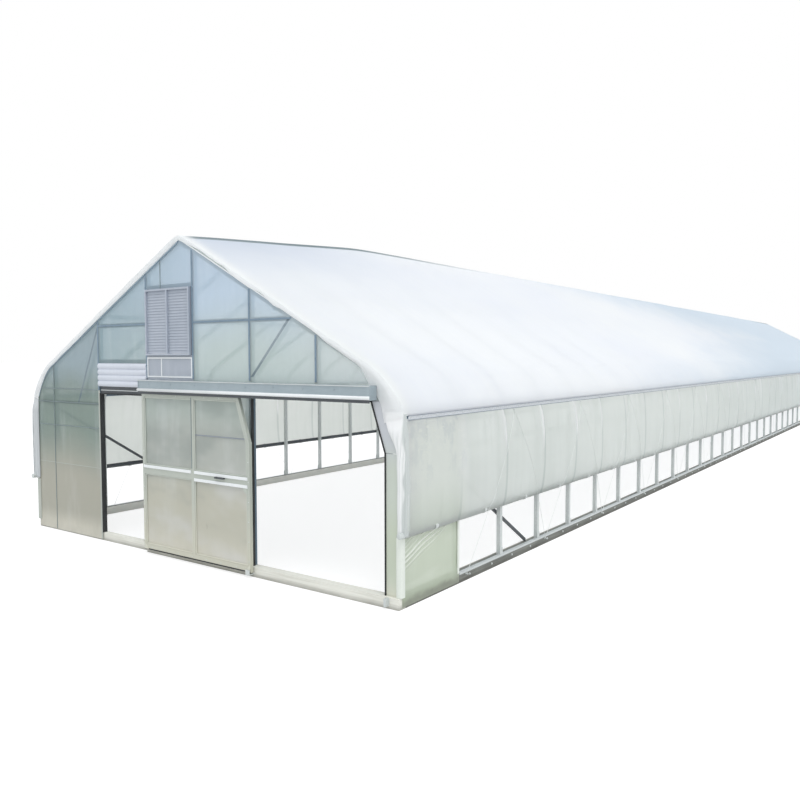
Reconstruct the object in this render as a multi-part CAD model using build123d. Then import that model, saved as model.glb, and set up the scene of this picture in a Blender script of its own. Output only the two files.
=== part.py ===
"""Gothic-arch polytunnel greenhouse with roll-up side curtains and a sliding front door, in millimetres.

X runs across the tunnel, Y from the front wall to the back wall, Z up. The origin is under the middle of the
overall box, on the ground. Places along Y are counted from the front face of the first hoop.
"""

import os
from math import asin, cos, radians, sin, sqrt, tan

from build123d import *

# Driving sizes of the tunnel
bay = 1000.0
bay_count = 39
span = 6400.0
post_top = 1638.0
bend_radius = 800.0
roof_pitch = 28.0
tube = 50.0
bend_facets = 8
seat_gap = 0.3
overrun = 50.0

# Timber sill that carries every post, and the step in front of the large doorway
sill_height = 110.0
sill_width = 110.0
sill_proud = 10.0
step_depth = 50.0
step_reach = 30.0

# Purlins and corner braces
purlin_tube = 40.0
purlin_reach = 1500.0
brace_thickness = 25.0
brace_width = 40.0
brace_head = 1850.0
brace_reach = 2770.0

# Hip rail, roll-up curtain and fixed side panels
hip_rail_height = 60.0
hip_rail_rise = 192.0
hip_rail_proud = 45.0
film_sheet = 6.0
curtain_hem_height = 760.0
curtain_standoff = 35.0
curtain_overhang = 20.0
roll_bar_radius = 30.0
roll_bar_overhang = 80.0

# Air-inflated double film of the roof
film_edge = 40.0
film_rise = 230.0
film_end_rise = 40.0
film_taper_length = 3250.0
film_overhang = 25.0

# End wall frame and glazing
sheet_thickness = 10.0
sheet_inset = 10.0
sheet_foot = 15.0
joint_gap = 4.0
mullion_width = 30.0
girt_drop = 985.0
side_girt_height = 1815.0
low_girt_height = 905.0
left_mullion_share = 0.27
back_post_count = 5
back_girt_heights = (1000.0, 2000.0)
gable_brace_rise = 170.0
wall_brace_reach = 500.0

# Large doorway on the right, closed by the sliding door
corner_width = 170.0
doorway_width = 1840.0
doorway_top = 2000.0
chamfer_width = 170.0
chamfer_height = 500.0
jamb_width = 40.0
lining = 13.0
lining_proud = 20.0
lining_back = 10.0

# Gable bay that holds the louvre, left of the ridge
louvre_middle = -215.0
louvre_bay = 870.0

# Small doorway with its rolled shutter
small_doorway_width = 975.0
small_header = 90.0
shutter_height = 300.0
shutter_slats = 4
shutter_depth = 30.0
shutter_side_lap = 20.0
slat_bulge = 18.0

# Louvre in the gable
louvre_height = 800.0
louvre_drop = 570.0
louvre_bar = 22.0
louvre_front = 45.0
louvre_back = 30.0
blade_count = 22
blade_thickness = 4.0
blade_tilt = 14.0
blade_chord_share = 1.08
blade_forward = 20.0
blade_end_gap = 4.0

# Track over the large doorway
track_height = 135.0
track_wall = 8.0
track_front = 140.0
track_back = 32.0
track_slot = 40.0
track_lift = 15.0
track_lip = 10.0
track_lip_height = 35.0
track_left_reach = 20.0
track_right_short = 140.0
bracket_width = 40.0

# Sliding door leaf
leaf_thickness = 40.0
leaf_back = 70.0
leaf_lap = 30.0
leaf_drop = 50.0
leaf_top_gap = 10.0
leaf_park_lap = 60.0
stile = 45.0
bottom_rail = 70.0
lock_rail = 110.0
lock_rail_height = 1060.0
pane_thickness = 10.0
hanger_width = 40.0
hanger_strap = 10.0
hanger_inset = 260.0
wheel_radius = 28.0
wheel_width = 16.0
wheel_gap = 2.0
axle_radius = 6.0
pull_length = 150.0
pull_bar = 16.0
pull_reach = 30.0
guide_width = 60.0
guide_plate = 10.0
guide_clearance = 7.0
guide_lap = 30.0
guide_drop = 40.0
stop_width = 25.0
stop_height = 80.0
stop_gap = 10.0

# Places worked out from the driving sizes
half_span = span / 2
length = bay * bay_count + tube
pitch = radians(roof_pitch)
turn = radians(90) - pitch
bend_x = half_span - bend_radius
bend_end_x = bend_x + bend_radius * cos(turn)
bend_end_z = post_top + bend_radius * sin(turn)
apex = bend_end_z + bend_end_x * tan(pitch)
inner_apex = apex - tube / cos(pitch)
inner_face = half_span - tube
hoop_places = [bay * step for step in range(bay_count + 1)]

hip_rail_bottom = post_top + hip_rail_rise
hip_rail_top = hip_rail_bottom + hip_rail_height
hip_seat = bend_x + sqrt(bend_radius**2 - hip_rail_rise**2) + seat_gap
curtain_face = half_span + curtain_standoff
curtain_middle = curtain_face + film_sheet / 2

doorway_right = half_span - corner_width
doorway_left = doorway_right - doorway_width
door_post = doorway_left - tube / 2
louvre_right_post = louvre_middle + louvre_bay / 2
louvre_left_post = louvre_middle - louvre_bay / 2
small_right = louvre_left_post - tube / 2
small_left = small_right - small_doorway_width
small_post = small_left - tube / 2
small_top = doorway_top - jamb_width
shutter_bottom = small_top + small_header
shutter_top = shutter_bottom + shutter_height
left_mullion = -inner_face + (small_post + inner_face) * left_mullion_share
gable_post = doorway_left + (doorway_right - doorway_left) / 2 + tube / 2
header_top = doorway_top + tube
louvre_top = apex - louvre_drop
louvre_bottom = louvre_top - louvre_height
girt_height = apex - girt_drop

track_bottom = doorway_top + track_lift
track_top = track_bottom + track_height
leaf_middle = leaf_back + leaf_thickness / 2
leaf_front = leaf_back + leaf_thickness
leaf_right = doorway_left + leaf_park_lap
leaf_width = doorway_width + leaf_lap + leaf_lap / 3
leaf_left = leaf_right - leaf_width
leaf_bottom = sill_height - leaf_drop
leaf_top = doorway_top - leaf_top_gap
track_left = leaf_left - track_left_reach
track_right = doorway_right - track_right_short
front_reach = track_front + track_lip
back_reach = roll_bar_overhang
front_y = (front_reach - back_reach - length) / 2


def save(name, solids):
    """Write one node: the solids, moved so that the origin is under the middle of the overall box."""
    pieces = [piece for solid in solids for piece in solid.solids()]
    moved = [Pos(0, front_y, 0) * piece for piece in pieces]
    shape = moved[0] if len(moved) == 1 else Compound(children=moved)
    export_step(shape, f"parts/{name}.step")


def block(x_low, x_high, y_low, y_high, z_low, z_high):
    """A box between two corners."""
    size = (x_high - x_low, y_high - y_low, z_high - z_low)
    middle = Pos((x_low + x_high) / 2, (y_low + y_high) / 2, (z_low + z_high) / 2)
    return middle * Box(*size)


def across(face, y_low, y_high):
    """An outline drawn in X and Z, carried along Y."""
    return Pos(0, y_low, 0) * extrude(Plane.XZ * face, amount=y_high - y_low, dir=(0, 1, 0))


def along_x(face, x_low, x_high):
    """An outline drawn in Y and Z, carried along X."""
    return Pos(x_low, 0, 0) * extrude(Plane.YZ * face, amount=x_high - x_low, dir=(1, 0, 0))


def outline(*points):
    """A flat face inside straight edges."""
    return make_face(Polyline(*points, close=True))


def mirrored(solid):
    """The same piece on the left side of the tunnel."""
    return mirror(solid, about=Plane.YZ)


def slope_point(reach, depth):
    """A point on the right rafter, by its X at the outer face, moved inwards square to the slope."""
    return (reach - depth * sin(pitch), apex - reach * tan(pitch) - depth * cos(pitch))


def bend_points(inset):
    """Points up the right bend, from the post to the rafter, inside the hoop's outer face by an inset."""
    radius = bend_radius - inset
    angles = [turn * step / bend_facets for step in range(bend_facets + 1)]
    return [(bend_x + radius * cos(angle), post_top + radius * sin(angle)) for angle in angles]


def arch_face(inset, base):
    """The gothic outline of the end walls, inside the hoop's outer face by an inset, from a base up."""
    side = half_span - inset
    right_bend = bend_points(inset)
    left_bend = [(-x, z) for x, z in reversed(right_bend)]
    peak = (0, apex - inset / cos(pitch))
    return outline((side, base), *right_bend, peak, *left_bend, (-side, base))


def hoops():
    """Posts, bends and rafters of every hoop, square tube, seated end to end."""
    post = block(inner_face, half_span, 0, tube, sill_height, post_top)
    bend_face = outline(*bend_points(0), *reversed(bend_points(tube)))
    bend = across(bend_face, 0, tube)
    rafter_face = outline(
        (bend_end_x, bend_end_z),
        (0, apex),
        (0, inner_apex),
        slope_point(bend_end_x, tube),
    )
    rafter = across(rafter_face, 0, tube)
    for kind, piece in (("hoop_posts", post), ("hoop_bends", bend)):
        pair = (piece, mirrored(piece))
        save(kind, [Pos(0, place, 0) * side for side in pair for place in hoop_places])
    for side, piece in (("right", rafter), ("left", mirrored(rafter))):
        save(f"{side}_rafters", [Pos(0, place, 0) * piece for place in hoop_places])


def sills():
    """Timber sill round the foot of the tunnel, butted at the corners, with a step at the large doorway."""
    outer = half_span + sill_proud
    inner = tube + sill_proud
    front = block(-outer, outer, 0, inner, 0, sill_height)
    front += block(leaf_left - step_reach, outer, -step_depth, 0, 0, sill_height)
    save("front_sill", [front])
    save("back_sill", [block(-outer, outer, length - inner, length, 0, sill_height)])
    side = block(outer - sill_width, outer, inner, length - inner, 0, sill_height)
    save("side_sills", [side, mirrored(side)])


def purlins():
    """Ridge purlin and one purlin under each roof slope, between the end walls."""
    ridge_top = inner_apex - purlin_tube / 2 * tan(pitch) - seat_gap
    half = purlin_tube / 2
    save("ridge_purlin", [block(-half, half, tube, length - tube, ridge_top - purlin_tube, ridge_top)])
    step = purlin_tube * cos(pitch)
    seat = tube + seat_gap
    face = outline(
        slope_point(purlin_reach, seat),
        slope_point(purlin_reach + step, seat),
        slope_point(purlin_reach + step, seat + purlin_tube),
        slope_point(purlin_reach, seat + purlin_tube),
    )
    right = across(face, tube, length - tube)
    save("roof_purlins", [right, mirrored(right)])


def corner_braces():
    """Diagonal brace inside each side wall, from behind the end hoop at the hip down to the sill."""
    face = outline(
        (tube, brace_head - brace_width),
        (tube, brace_head),
        (brace_reach, sill_height + brace_width),
        (brace_reach, sill_height),
    )
    right_front = along_x(face, inner_face - brace_thickness, inner_face)
    right_back = mirror(right_front, about=Plane.XZ.offset(-length / 2))
    rights = [right_front, right_back]
    save("corner_braces", rights + [mirrored(piece) for piece in rights])


def side_walls():
    """Hip rails, roll-up curtains on their bars, and the fixed film panels of the end bays."""
    rail_outer = half_span + hip_rail_proud
    rail = block(
        hip_seat, rail_outer, -curtain_overhang, length + curtain_overhang, hip_rail_bottom, hip_rail_top
    )
    curtain = block(
        curtain_face,
        curtain_face + film_sheet,
        -curtain_overhang,
        length + curtain_overhang,
        curtain_hem_height + seat_gap,
        hip_rail_bottom,
    )
    bar_z = curtain_hem_height - roll_bar_radius
    bar_length = length + 2 * roll_bar_overhang
    bar = Pos(curtain_middle, length / 2, bar_z) * Rot(90, 0, 0) * Cylinder(roll_bar_radius, bar_length)
    panel_outer = half_span + seat_gap + film_sheet
    panel = block(half_span + seat_gap, panel_outer, 0, bay + tube, sill_height, hip_rail_bottom)
    far_panel = mirror(panel, about=Plane.XZ.offset(-length / 2))
    for kind, piece in (("hip_rails", rail), ("side_curtains", curtain), ("roll_bars", bar)):
        save(kind, [piece, mirrored(piece)])
    save("side_end_panels", [panel, far_panel, mirrored(panel), mirrored(far_panel)])


def roof_film():
    """Air-inflated double film: a cushion over each slope, lower at its ends, and a strip round each eave."""
    y_low = -film_overhang
    y_high = length + film_overhang
    eave_out = slope_point(bend_end_x, -film_edge)
    ridge = apex + film_rise
    ridge_end = apex + film_end_rise
    section = outline(
        slope_point(bend_end_x, -seat_gap),
        eave_out,
        (0, ridge),
        (0, apex + seat_gap / cos(pitch)),
    )
    cushion = across(section, y_low, y_high)
    ends = ((y_low, y_low + film_taper_length), (y_high, y_high - film_taper_length))
    for y_end, y_full in ends:
        corner = Vector(eave_out[0], y_end, eave_out[1])
        low_ridge = Vector(0, y_end, ridge_end)
        normal = (low_ridge - corner).cross(Vector(0, y_full, ridge) - corner)
        upward = normal if normal.Z > 0 else normal * -1
        cushion = split(cushion, bisect_by=Plane(origin=corner, z_dir=upward), keep=Keep.BOTTOM)
    save("right_roof_film", [cushion])
    save("left_roof_film", [mirrored(cushion)])

    strip_face = outline(*bend_points(-film_edge), *reversed(bend_points(-seat_gap)))
    strip = across(strip_face, y_low, y_high)
    below = block(bend_x, span, y_low - overrun, y_high + overrun, 0, hip_rail_top)
    strip = strip - below
    save("right_eave_film", [strip])
    save("left_eave_film", [mirrored(strip)])


def inside_frame(solid, y_low, y_high):
    """An end-wall member cut off where it meets the inside of the end hoop."""
    return solid & across(arch_face(tube + seat_gap, sill_height), y_low, y_high)


def upright(middle, width, base):
    """A front-wall upright from a base to the roof."""
    tall = block(middle - width / 2, middle + width / 2, 0, tube, base, apex)
    return inside_frame(tall, 0, tube)


def rail_between(x_low, x_high, z_low, height):
    """A front-wall rail between two members."""
    return inside_frame(block(x_low, x_high, 0, tube, z_low, z_low + height), 0, tube)


def front_frame():
    """Uprights, rails and braces of the front wall, and the frames of its two doorways."""
    half = tube / 2
    uprights = [
        upright(left_mullion, mullion_width, sill_height),
        upright(small_post, tube, sill_height),
        upright(louvre_left_post, tube, sill_height),
        upright(louvre_right_post, tube, sill_height),
        upright(door_post, tube, sill_height),
        upright(gable_post, tube, header_top),
    ]
    save("front_wall_posts", uprights)

    low = girt_height - half
    left_of_mullion = left_mullion - mullion_width / 2
    right_of_mullion = left_mullion + mullion_width / 2
    girts = [
        rail_between(small_left, small_right, low, tube),
        rail_between(louvre_right_post + half, door_post - half, low, tube),
        rail_between(doorway_left, gable_post - half, low, tube),
        rail_between(louvre_left_post + half, louvre_right_post - half, louvre_top, tube),
        rail_between(louvre_left_post + half, louvre_right_post - half, louvre_bottom - tube, tube),
        rail_between(small_left, small_right, shutter_top, tube),
    ]
    for height in (side_girt_height, low_girt_height):
        girts.append(rail_between(-half_span, left_of_mullion, height - half, tube))
        girts.append(rail_between(right_of_mullion, small_post - half, height - half, tube))
    save("front_wall_girts", girts)

    headers = [
        rail_between(louvre_left_post + half, louvre_right_post - half, doorway_top, tube),
        rail_between(louvre_right_post + half, door_post - half, doorway_top, tube),
        rail_between(doorway_left, half_span, doorway_top, tube),
    ]
    save("doorway_header", headers)
    corner_foot = doorway_top - chamfer_height
    jamb = block(doorway_right, doorway_right + jamb_width, 0, tube, sill_height, corner_foot)
    save("doorway_right_post", [jamb])
    strut_face = outline(
        (doorway_right, corner_foot),
        (doorway_right + jamb_width, corner_foot),
        (doorway_right + jamb_width - chamfer_width, doorway_top),
        (doorway_right - chamfer_width, doorway_top),
    )
    save("doorway_corner_strut", [across(strut_face, 0, tube)])
    save("small_doorway_header", [block(small_left, small_right, 0, tube, small_top, shutter_bottom)])

    brace_y = tube + brace_thickness
    right_foot = (doorway_left, header_top + gable_brace_rise)
    right_head = ((inner_apex - girt_height) / tan(pitch), girt_height)
    left_foot = (small_post - wall_brace_reach, side_girt_height)
    left_head = (small_post, inner_apex + small_post * tan(pitch))
    braces = []
    for foot, head in ((right_foot, right_head), (left_foot, left_head)):
        face = outline(
            foot, (foot[0] + brace_width, foot[1]), (head[0] + brace_width, head[1]), head
        )
        braces.append(inside_frame(across(face, tube, brace_y), tube, brace_y))
    save("front_wall_braces", braces)


def doorway_linings():
    """Dark rubber lining strips round both doorways."""
    outer = outline(
        (doorway_left, sill_height),
        (doorway_right, sill_height),
        (doorway_right, doorway_top - chamfer_height),
        (doorway_right - chamfer_width, doorway_top),
        (doorway_left, doorway_top),
    )
    slant = lining / cos(asin(chamfer_width / sqrt(chamfer_width**2 + chamfer_height**2)))
    inner_right = doorway_right - lining
    inner_top = doorway_top - lining
    knee = doorway_top - chamfer_height - (slant - lining) * chamfer_height / chamfer_width
    top_corner = inner_right - (inner_top - knee) * chamfer_width / chamfer_height
    inner = outline(
        (doorway_left + lining, sill_height - overrun),
        (inner_right, sill_height - overrun),
        (inner_right, knee),
        (top_corner, inner_top),
        (doorway_left + lining, inner_top),
    )
    save("doorway_lining", [across(outer - inner, -lining_proud, lining_back)])
    small_outer = Pos((small_left + small_right) / 2, (sill_height + small_top) / 2) * Rectangle(
        small_right - small_left, small_top - sill_height
    )
    small_inner = Pos((small_left + small_right) / 2, (sill_height + small_top) / 2 - lining) * Rectangle(
        small_right - small_left - 2 * lining, small_top - sill_height
    )
    small_back = tube - lining / 2
    save("small_doorway_lining", [across(small_outer - small_inner, -lining_proud, small_back)])


def sheet(x_low, x_high, z_low, z_high):
    """A flat glazing sheet of the front wall between joint lines, cut to the arch."""
    half = joint_gap / 2
    area = block(x_low + half, x_high - half, -sheet_thickness, 0, z_low + half, z_high - half)
    return area & across(arch_face(sheet_inset, sheet_foot), -sheet_thickness, 0)


def front_sheets():
    """Glazing sheets of the front wall, jointed on the uprights."""
    far = span
    save(
        "left_wall_sheets",
        [
            sheet(-far, left_mullion, sheet_foot, apex),
            sheet(left_mullion, small_post, sheet_foot, apex),
        ],
    )
    save(
        "gable_sheets",
        [
            sheet(small_post, louvre_left_post, shutter_top, apex),
            sheet(louvre_left_post, louvre_right_post, louvre_top, apex),
            sheet(louvre_right_post, door_post, doorway_top, apex),
            sheet(door_post, gable_post, doorway_top, apex),
            sheet(gable_post, far, doorway_top, apex),
        ],
    )
    save("louvre_underlight", [sheet(louvre_left_post, louvre_right_post, doorway_top, louvre_bottom)])
    save(
        "parked_bay_sheets",
        [
            sheet(louvre_left_post, louvre_right_post, sill_height, doorway_top),
            sheet(louvre_right_post, doorway_left, sill_height, doorway_top),
        ],
    )
    corner_foot = doorway_top - chamfer_height
    strip = sheet(doorway_right, far, sill_height, corner_foot)
    upper = sheet(doorway_right - chamfer_width, far, corner_foot, doorway_top)
    slant = outline(
        (doorway_right - chamfer_width - overrun, doorway_top + overrun * chamfer_height / chamfer_width),
        (doorway_right + overrun, corner_foot - overrun * chamfer_height / chamfer_width),
        (doorway_right - chamfer_width - overrun, corner_foot - overrun * chamfer_height / chamfer_width),
    )
    upper = upper - across(slant, -sheet_thickness - overrun, overrun)
    save("doorway_side_sheets", [strip, upper])


def back_wall():
    """Plain back wall with the same frame and sheets, and no doorway."""
    y_low = length - tube
    step = span / (back_post_count + 1)
    lines = [-half_span + step * (count + 1) for count in range(back_post_count)]
    half = tube / 2
    cutter = across(arch_face(tube + seat_gap, sill_height), y_low, length)
    save(
        "back_wall_posts",
        [cutter & block(x - half, x + half, y_low, length, sill_height, apex) for x in lines],
    )
    starts = [-half_span] + [x + half for x in lines]
    ends = [x - half for x in lines] + [half_span]
    girts = []
    for height in back_girt_heights:
        for x_low, x_high in zip(starts, ends):
            girts.append(cutter & block(x_low, x_high, y_low, length, height - half, height + half))
    save("back_wall_girts", girts)
    face = across(arch_face(sheet_inset, sheet_foot), length, length + sheet_thickness)
    edges = [-span] + lines + [span]
    gap = joint_gap / 2
    sheets = []
    for x_low, x_high in zip(edges[:-1], edges[1:]):
        area = block(x_low + gap, x_high - gap, length, length + sheet_thickness, sheet_foot, apex)
        sheets.append(face & area)
    save("back_wall_sheets", sheets)


def louvre():
    """Shutter louvre in the gable: a framed pair of blade columns."""
    x_low = louvre_left_post + tube / 2
    x_high = louvre_right_post - tube / 2
    middle = (x_low + x_high) / 2
    frame = block(x_low, x_high, -louvre_front, louvre_back, louvre_bottom, louvre_top)
    half_bar = louvre_bar / 2
    z_low = louvre_bottom + louvre_bar
    z_high = louvre_top - louvre_bar
    columns = ((x_low + louvre_bar, middle - half_bar), (middle + half_bar, x_high - louvre_bar))
    pitch_z = (z_high - z_low - 2 * blade_end_gap) / blade_count
    chord = pitch_z * blade_chord_share
    blades = []
    for left, right in columns:
        frame -= block(left, right, -louvre_front - overrun, louvre_back + overrun, z_low, z_high)
        for count in range(blade_count):
            blade = Rot(-blade_tilt, 0, 0) * Box(right - left, blade_thickness, chord)
            height = z_low + blade_end_gap + pitch_z * (count + 1 / 2)
            blades.append(Pos((left + right) / 2, -blade_forward, height) * blade)
    save("louvre_frame", [frame])
    save("louvre_blades", blades)


def rolled_shutter():
    """Rolled-up slatted shutter over the small doorway, a stack of bowed slats."""
    slat = shutter_height / shutter_slats
    face_y = -shutter_depth + slat_bulge
    profile = outline(
        (0, shutter_bottom), (0, shutter_top), (face_y, shutter_top), (face_y, shutter_bottom)
    )
    radius = (slat**2 / 4 + slat_bulge**2) / (2 * slat_bulge)
    for count in range(shutter_slats):
        centre = (face_y - slat_bulge + radius, shutter_bottom + slat * (count + 1 / 2))
        bow = Pos(*centre) * Circle(radius)
        strip = Pos(face_y - slat_bulge / 2, centre[1]) * Rectangle(slat_bulge, slat)
        profile += bow & strip
    shutter = along_x(profile, small_left - shutter_side_lap, small_right + shutter_side_lap)
    save("rolled_shutter", [shutter])


def track_profile():
    """Section of the door track in Y and Z: a box open at a slot below, with a lip along its lower front."""
    back = -track_back
    front = -track_front
    shell = outline((back, track_bottom), (front, track_bottom), (front, track_top), (back, track_top))
    hollow = outline(
        (back - track_wall, track_bottom + track_wall),
        (front + track_wall, track_bottom + track_wall),
        (front + track_wall, track_top - track_wall),
        (back - track_wall, track_top - track_wall),
    )
    slot = Pos(-leaf_middle, track_bottom) * Rectangle(track_slot, 4 * track_wall)
    lip_middle = (front - track_lip / 2, track_bottom + track_lip_height / 2)
    lip = Pos(*lip_middle) * Rectangle(track_lip, track_lip_height)
    return shell - hollow - slot + lip


def door_track():
    """Track for the sliding door, fixed across the front of the wall, and the guides at the sill."""
    save("door_track", [along_x(track_profile(), track_left, track_right)])
    half = bracket_width / 2
    posts = (louvre_left_post + tube, louvre_right_post, door_post, gable_post, track_right - tube)
    save(
        "track_brackets",
        [block(x - half, x + half, -track_back, -sheet_thickness, track_bottom, track_top) for x in posts],
    )
    guide_front = -(leaf_front + guide_clearance + guide_plate)
    base_top = leaf_bottom - guide_clearance - guide_plate
    profile = outline(
        (-step_depth, base_top - guide_plate),
        (guide_front, base_top - guide_plate),
        (guide_front, leaf_bottom + guide_lap),
        (guide_front + guide_plate, leaf_bottom + guide_lap),
        (guide_front + guide_plate, base_top),
        (-step_depth, base_top),
    )
    guide_left = leaf_right - guide_width - guide_clearance
    guide = along_x(profile, guide_left, guide_left + guide_width)
    stop_left = doorway_right + leaf_lap + stop_gap
    stop_low = sill_height - stop_height
    stop = block(stop_left, stop_left + stop_width, -leaf_front, -step_depth, stop_low, sill_height)
    save("door_floor_guides", [guide, stop])


def leaf_outline(inset):
    """Outline of the door leaf inside its edge by an inset, with its chamfered upper right corner."""
    slope = chamfer_height / chamfer_width
    slant = inset * (1 + 1 / slope**2) ** 0.5 * slope
    right = leaf_right - inset
    top = leaf_top - inset
    corner = leaf_top - chamfer_height
    shift = (slant - inset * slope) if inset else 0
    knee = corner - shift
    top_right = right - (top - knee) / slope
    return outline(
        (leaf_left + inset, leaf_bottom + inset),
        (right, leaf_bottom + inset),
        (right, knee),
        (top_right, top),
        (leaf_left + inset, top),
    )


def pane_faces():
    """Outlines of the four panes of the leaf."""
    field = leaf_outline(stile)
    middle = (leaf_left + leaf_right) / 2
    lock_low = lock_rail_height - lock_rail / 2
    lock_high = lock_rail_height + lock_rail / 2
    columns = ((leaf_left, middle - stile / 2), (middle + stile / 2, leaf_right))
    rows = ((leaf_bottom + bottom_rail, lock_low), (lock_high, leaf_top))
    faces = []
    for x_low, x_high in columns:
        for z_low, z_high in rows:
            area = Pos((x_low + x_high) / 2, (z_low + z_high) / 2) * Rectangle(x_high - x_low, z_high - z_low)
            faces.append(field & area)
    return faces


def sliding_door():
    """Door leaf that hangs from the track: frame, panes, wheeled hangers and a pull."""
    frame_face = leaf_outline(0)
    panes = []
    for face in pane_faces():
        frame_face -= face
        panes.append(across(face, -leaf_middle - pane_thickness / 2, -leaf_middle + pane_thickness / 2))
    save("door_frame", [across(frame_face, -leaf_front, -leaf_back)])
    save("door_panes", panes)

    wheel_z = track_bottom + track_wall + seat_gap + wheel_radius
    wheel_inner = track_slot / 2 + wheel_gap
    wheel_outer = wheel_inner + wheel_width
    strap_top = wheel_z + 2 * axle_radius
    hangers = []
    lift_end = leaf_right - chamfer_width - hanger_inset / 2
    for x in (leaf_left + hanger_inset, lift_end):
        hanger = block(
            x - hanger_width / 2,
            x + hanger_width / 2,
            -leaf_middle - hanger_strap / 2,
            -leaf_middle + hanger_strap / 2,
            leaf_top,
            strap_top,
        )
        turned = Pos(x, -leaf_middle, wheel_z) * Rot(90, 0, 0)
        hanger += turned * Cylinder(axle_radius, 2 * wheel_outer)
        for side in (-1, 1):
            wheel_y = -leaf_middle + side * (wheel_inner + wheel_width / 2)
            wheel = Rot(90, 0, 0) * Cylinder(wheel_radius, wheel_width)
            hanger += Pos(x, wheel_y, wheel_z) * wheel
        hangers.append(hanger)
    save("door_hangers", hangers)

    pull_x = (leaf_left + 3 * leaf_right) / 4
    half = pull_length / 2
    reach = -leaf_front - pull_reach
    grip = block(
        pull_x - half, pull_x + half, reach, reach + pull_bar, lock_rail_height, lock_rail_height + pull_bar
    )
    for side in (-1, 1):
        foot = pull_x + side * (half - pull_bar / 2)
        grip += block(
            foot - pull_bar / 2,
            foot + pull_bar / 2,
            reach,
            -leaf_front,
            lock_rail_height,
            lock_rail_height + pull_bar,
        )
    save("door_pull", [grip])


os.makedirs("parts", exist_ok=True)
sills()
hoops()
purlins()
corner_braces()
side_walls()
roof_film()
front_frame()
doorway_linings()
front_sheets()
back_wall()
louvre()
rolled_shutter()
door_track()
sliding_door()
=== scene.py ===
"""Polytunnel greenhouse: its films, curtains, ropes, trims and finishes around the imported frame.

Everything is in metres in the part's own frame: X across the tunnel, Y from front to back, Z up.
"""

import logging
import math
from dataclasses import dataclass, field
from enum import Enum
from typing import Any, Sequence

import bpy
import numpy as np
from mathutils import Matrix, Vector


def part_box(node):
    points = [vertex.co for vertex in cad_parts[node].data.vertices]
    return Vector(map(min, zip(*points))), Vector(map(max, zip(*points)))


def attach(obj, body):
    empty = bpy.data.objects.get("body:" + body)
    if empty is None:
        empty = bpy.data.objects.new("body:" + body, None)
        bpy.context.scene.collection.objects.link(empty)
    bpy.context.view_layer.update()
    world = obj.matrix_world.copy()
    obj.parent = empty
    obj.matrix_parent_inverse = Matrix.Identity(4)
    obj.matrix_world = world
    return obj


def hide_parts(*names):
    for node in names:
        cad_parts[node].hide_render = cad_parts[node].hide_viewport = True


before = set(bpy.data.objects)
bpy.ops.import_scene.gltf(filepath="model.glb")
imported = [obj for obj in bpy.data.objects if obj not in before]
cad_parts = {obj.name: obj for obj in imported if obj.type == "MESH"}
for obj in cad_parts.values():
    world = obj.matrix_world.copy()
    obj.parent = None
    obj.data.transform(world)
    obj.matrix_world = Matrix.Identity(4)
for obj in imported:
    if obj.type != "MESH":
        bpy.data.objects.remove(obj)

Array = np.ndarray
Material = bpy.types.Material
Socket = bpy.types.NodeSocket
Colour = tuple[float, float, float]
Way = tuple[float, float, float]
Rows = list[tuple[float, float, float, float]]
log = logging.getLogger("polytunnel")

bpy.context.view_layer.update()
NOISE_SIZE = 4096
NOISE_SIDE = 256
SIDES = ((1.0, "right"), (-1.0, "left"))
ENDS = ((1.0, "front"), (-1.0, "back"))
CURTAIN_SEEDS = {"right": 101, "left": 151}
FORWARD: Way = (0.0, -1.0, 0.0)
BACKWARD: Way = (0.0, 1.0, 0.0)
UPWARD: Way = (0.0, 0.0, 1.0)
RIGHTWARD: Way = (1.0, 0.0, 0.0)
WASHERED_SCREW = ((0.009, 0.0), (0.008, 0.0025), (0.005, 0.003), (0.005, 0.006), (0.003, 0.007))


class Body(Enum):
    """The moving groups of the part."""

    TUNNEL = "tunnel"
    DOOR = "sliding_door"


class Slot(Enum):
    """The record's material slots, listed for the door's trims; no piece is given one."""

    ROOF = "roof_film"
    SIDE = "side_film"
    GALVANISED = "galvanised_steel"
    ALUMINIUM = "aluminium_section"
    RUBBER = "dark_rubber"
    LOUVRE = "louvre_metal"


def tint(red: int, green: int, blue: int) -> Colour:
    """A colour written as it looks on screen, turned into the linear values that shaders take.

    Args:
        red: Red from 0 to 255.
        green: Green from 0 to 255.
        blue: Blue from 0 to 255.

    Returns:
        Linear red, green and blue.
    """
    shown = np.array((red, green, blue)) / 255.0
    linear = np.where(shown <= 0.04045, shown / 12.92, ((shown + 0.055) / 1.055) ** 2.4)
    return tuple(float(value) for value in linear)


def limited(value: Array) -> Array:
    """A value held between 0 and 1."""
    return np.clip(value, 0.0, 1.0)


def smooth_step(value: Array) -> Array:
    """A rise from 0 to 1 with level ends, held at both sides."""
    share = limited(value)
    return share * share * (3.0 - 2.0 * share)


def line_noise(place: Array, seed: int) -> Array:
    """Noise along a line, from -1 to 1: random heights at whole numbers joined by smooth steps.

    Args:
        place: Places along the line.
        seed: Which line of random heights.

    Returns:
        The noise at each place.
    """
    heights = np.random.default_rng(seed).uniform(-1.0, 1.0, NOISE_SIZE)
    low = np.floor(place).astype(int)
    share = smooth_step(place - low)
    return heights[low % NOISE_SIZE] * (1.0 - share) + heights[(low + 1) % NOISE_SIZE] * share


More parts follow.
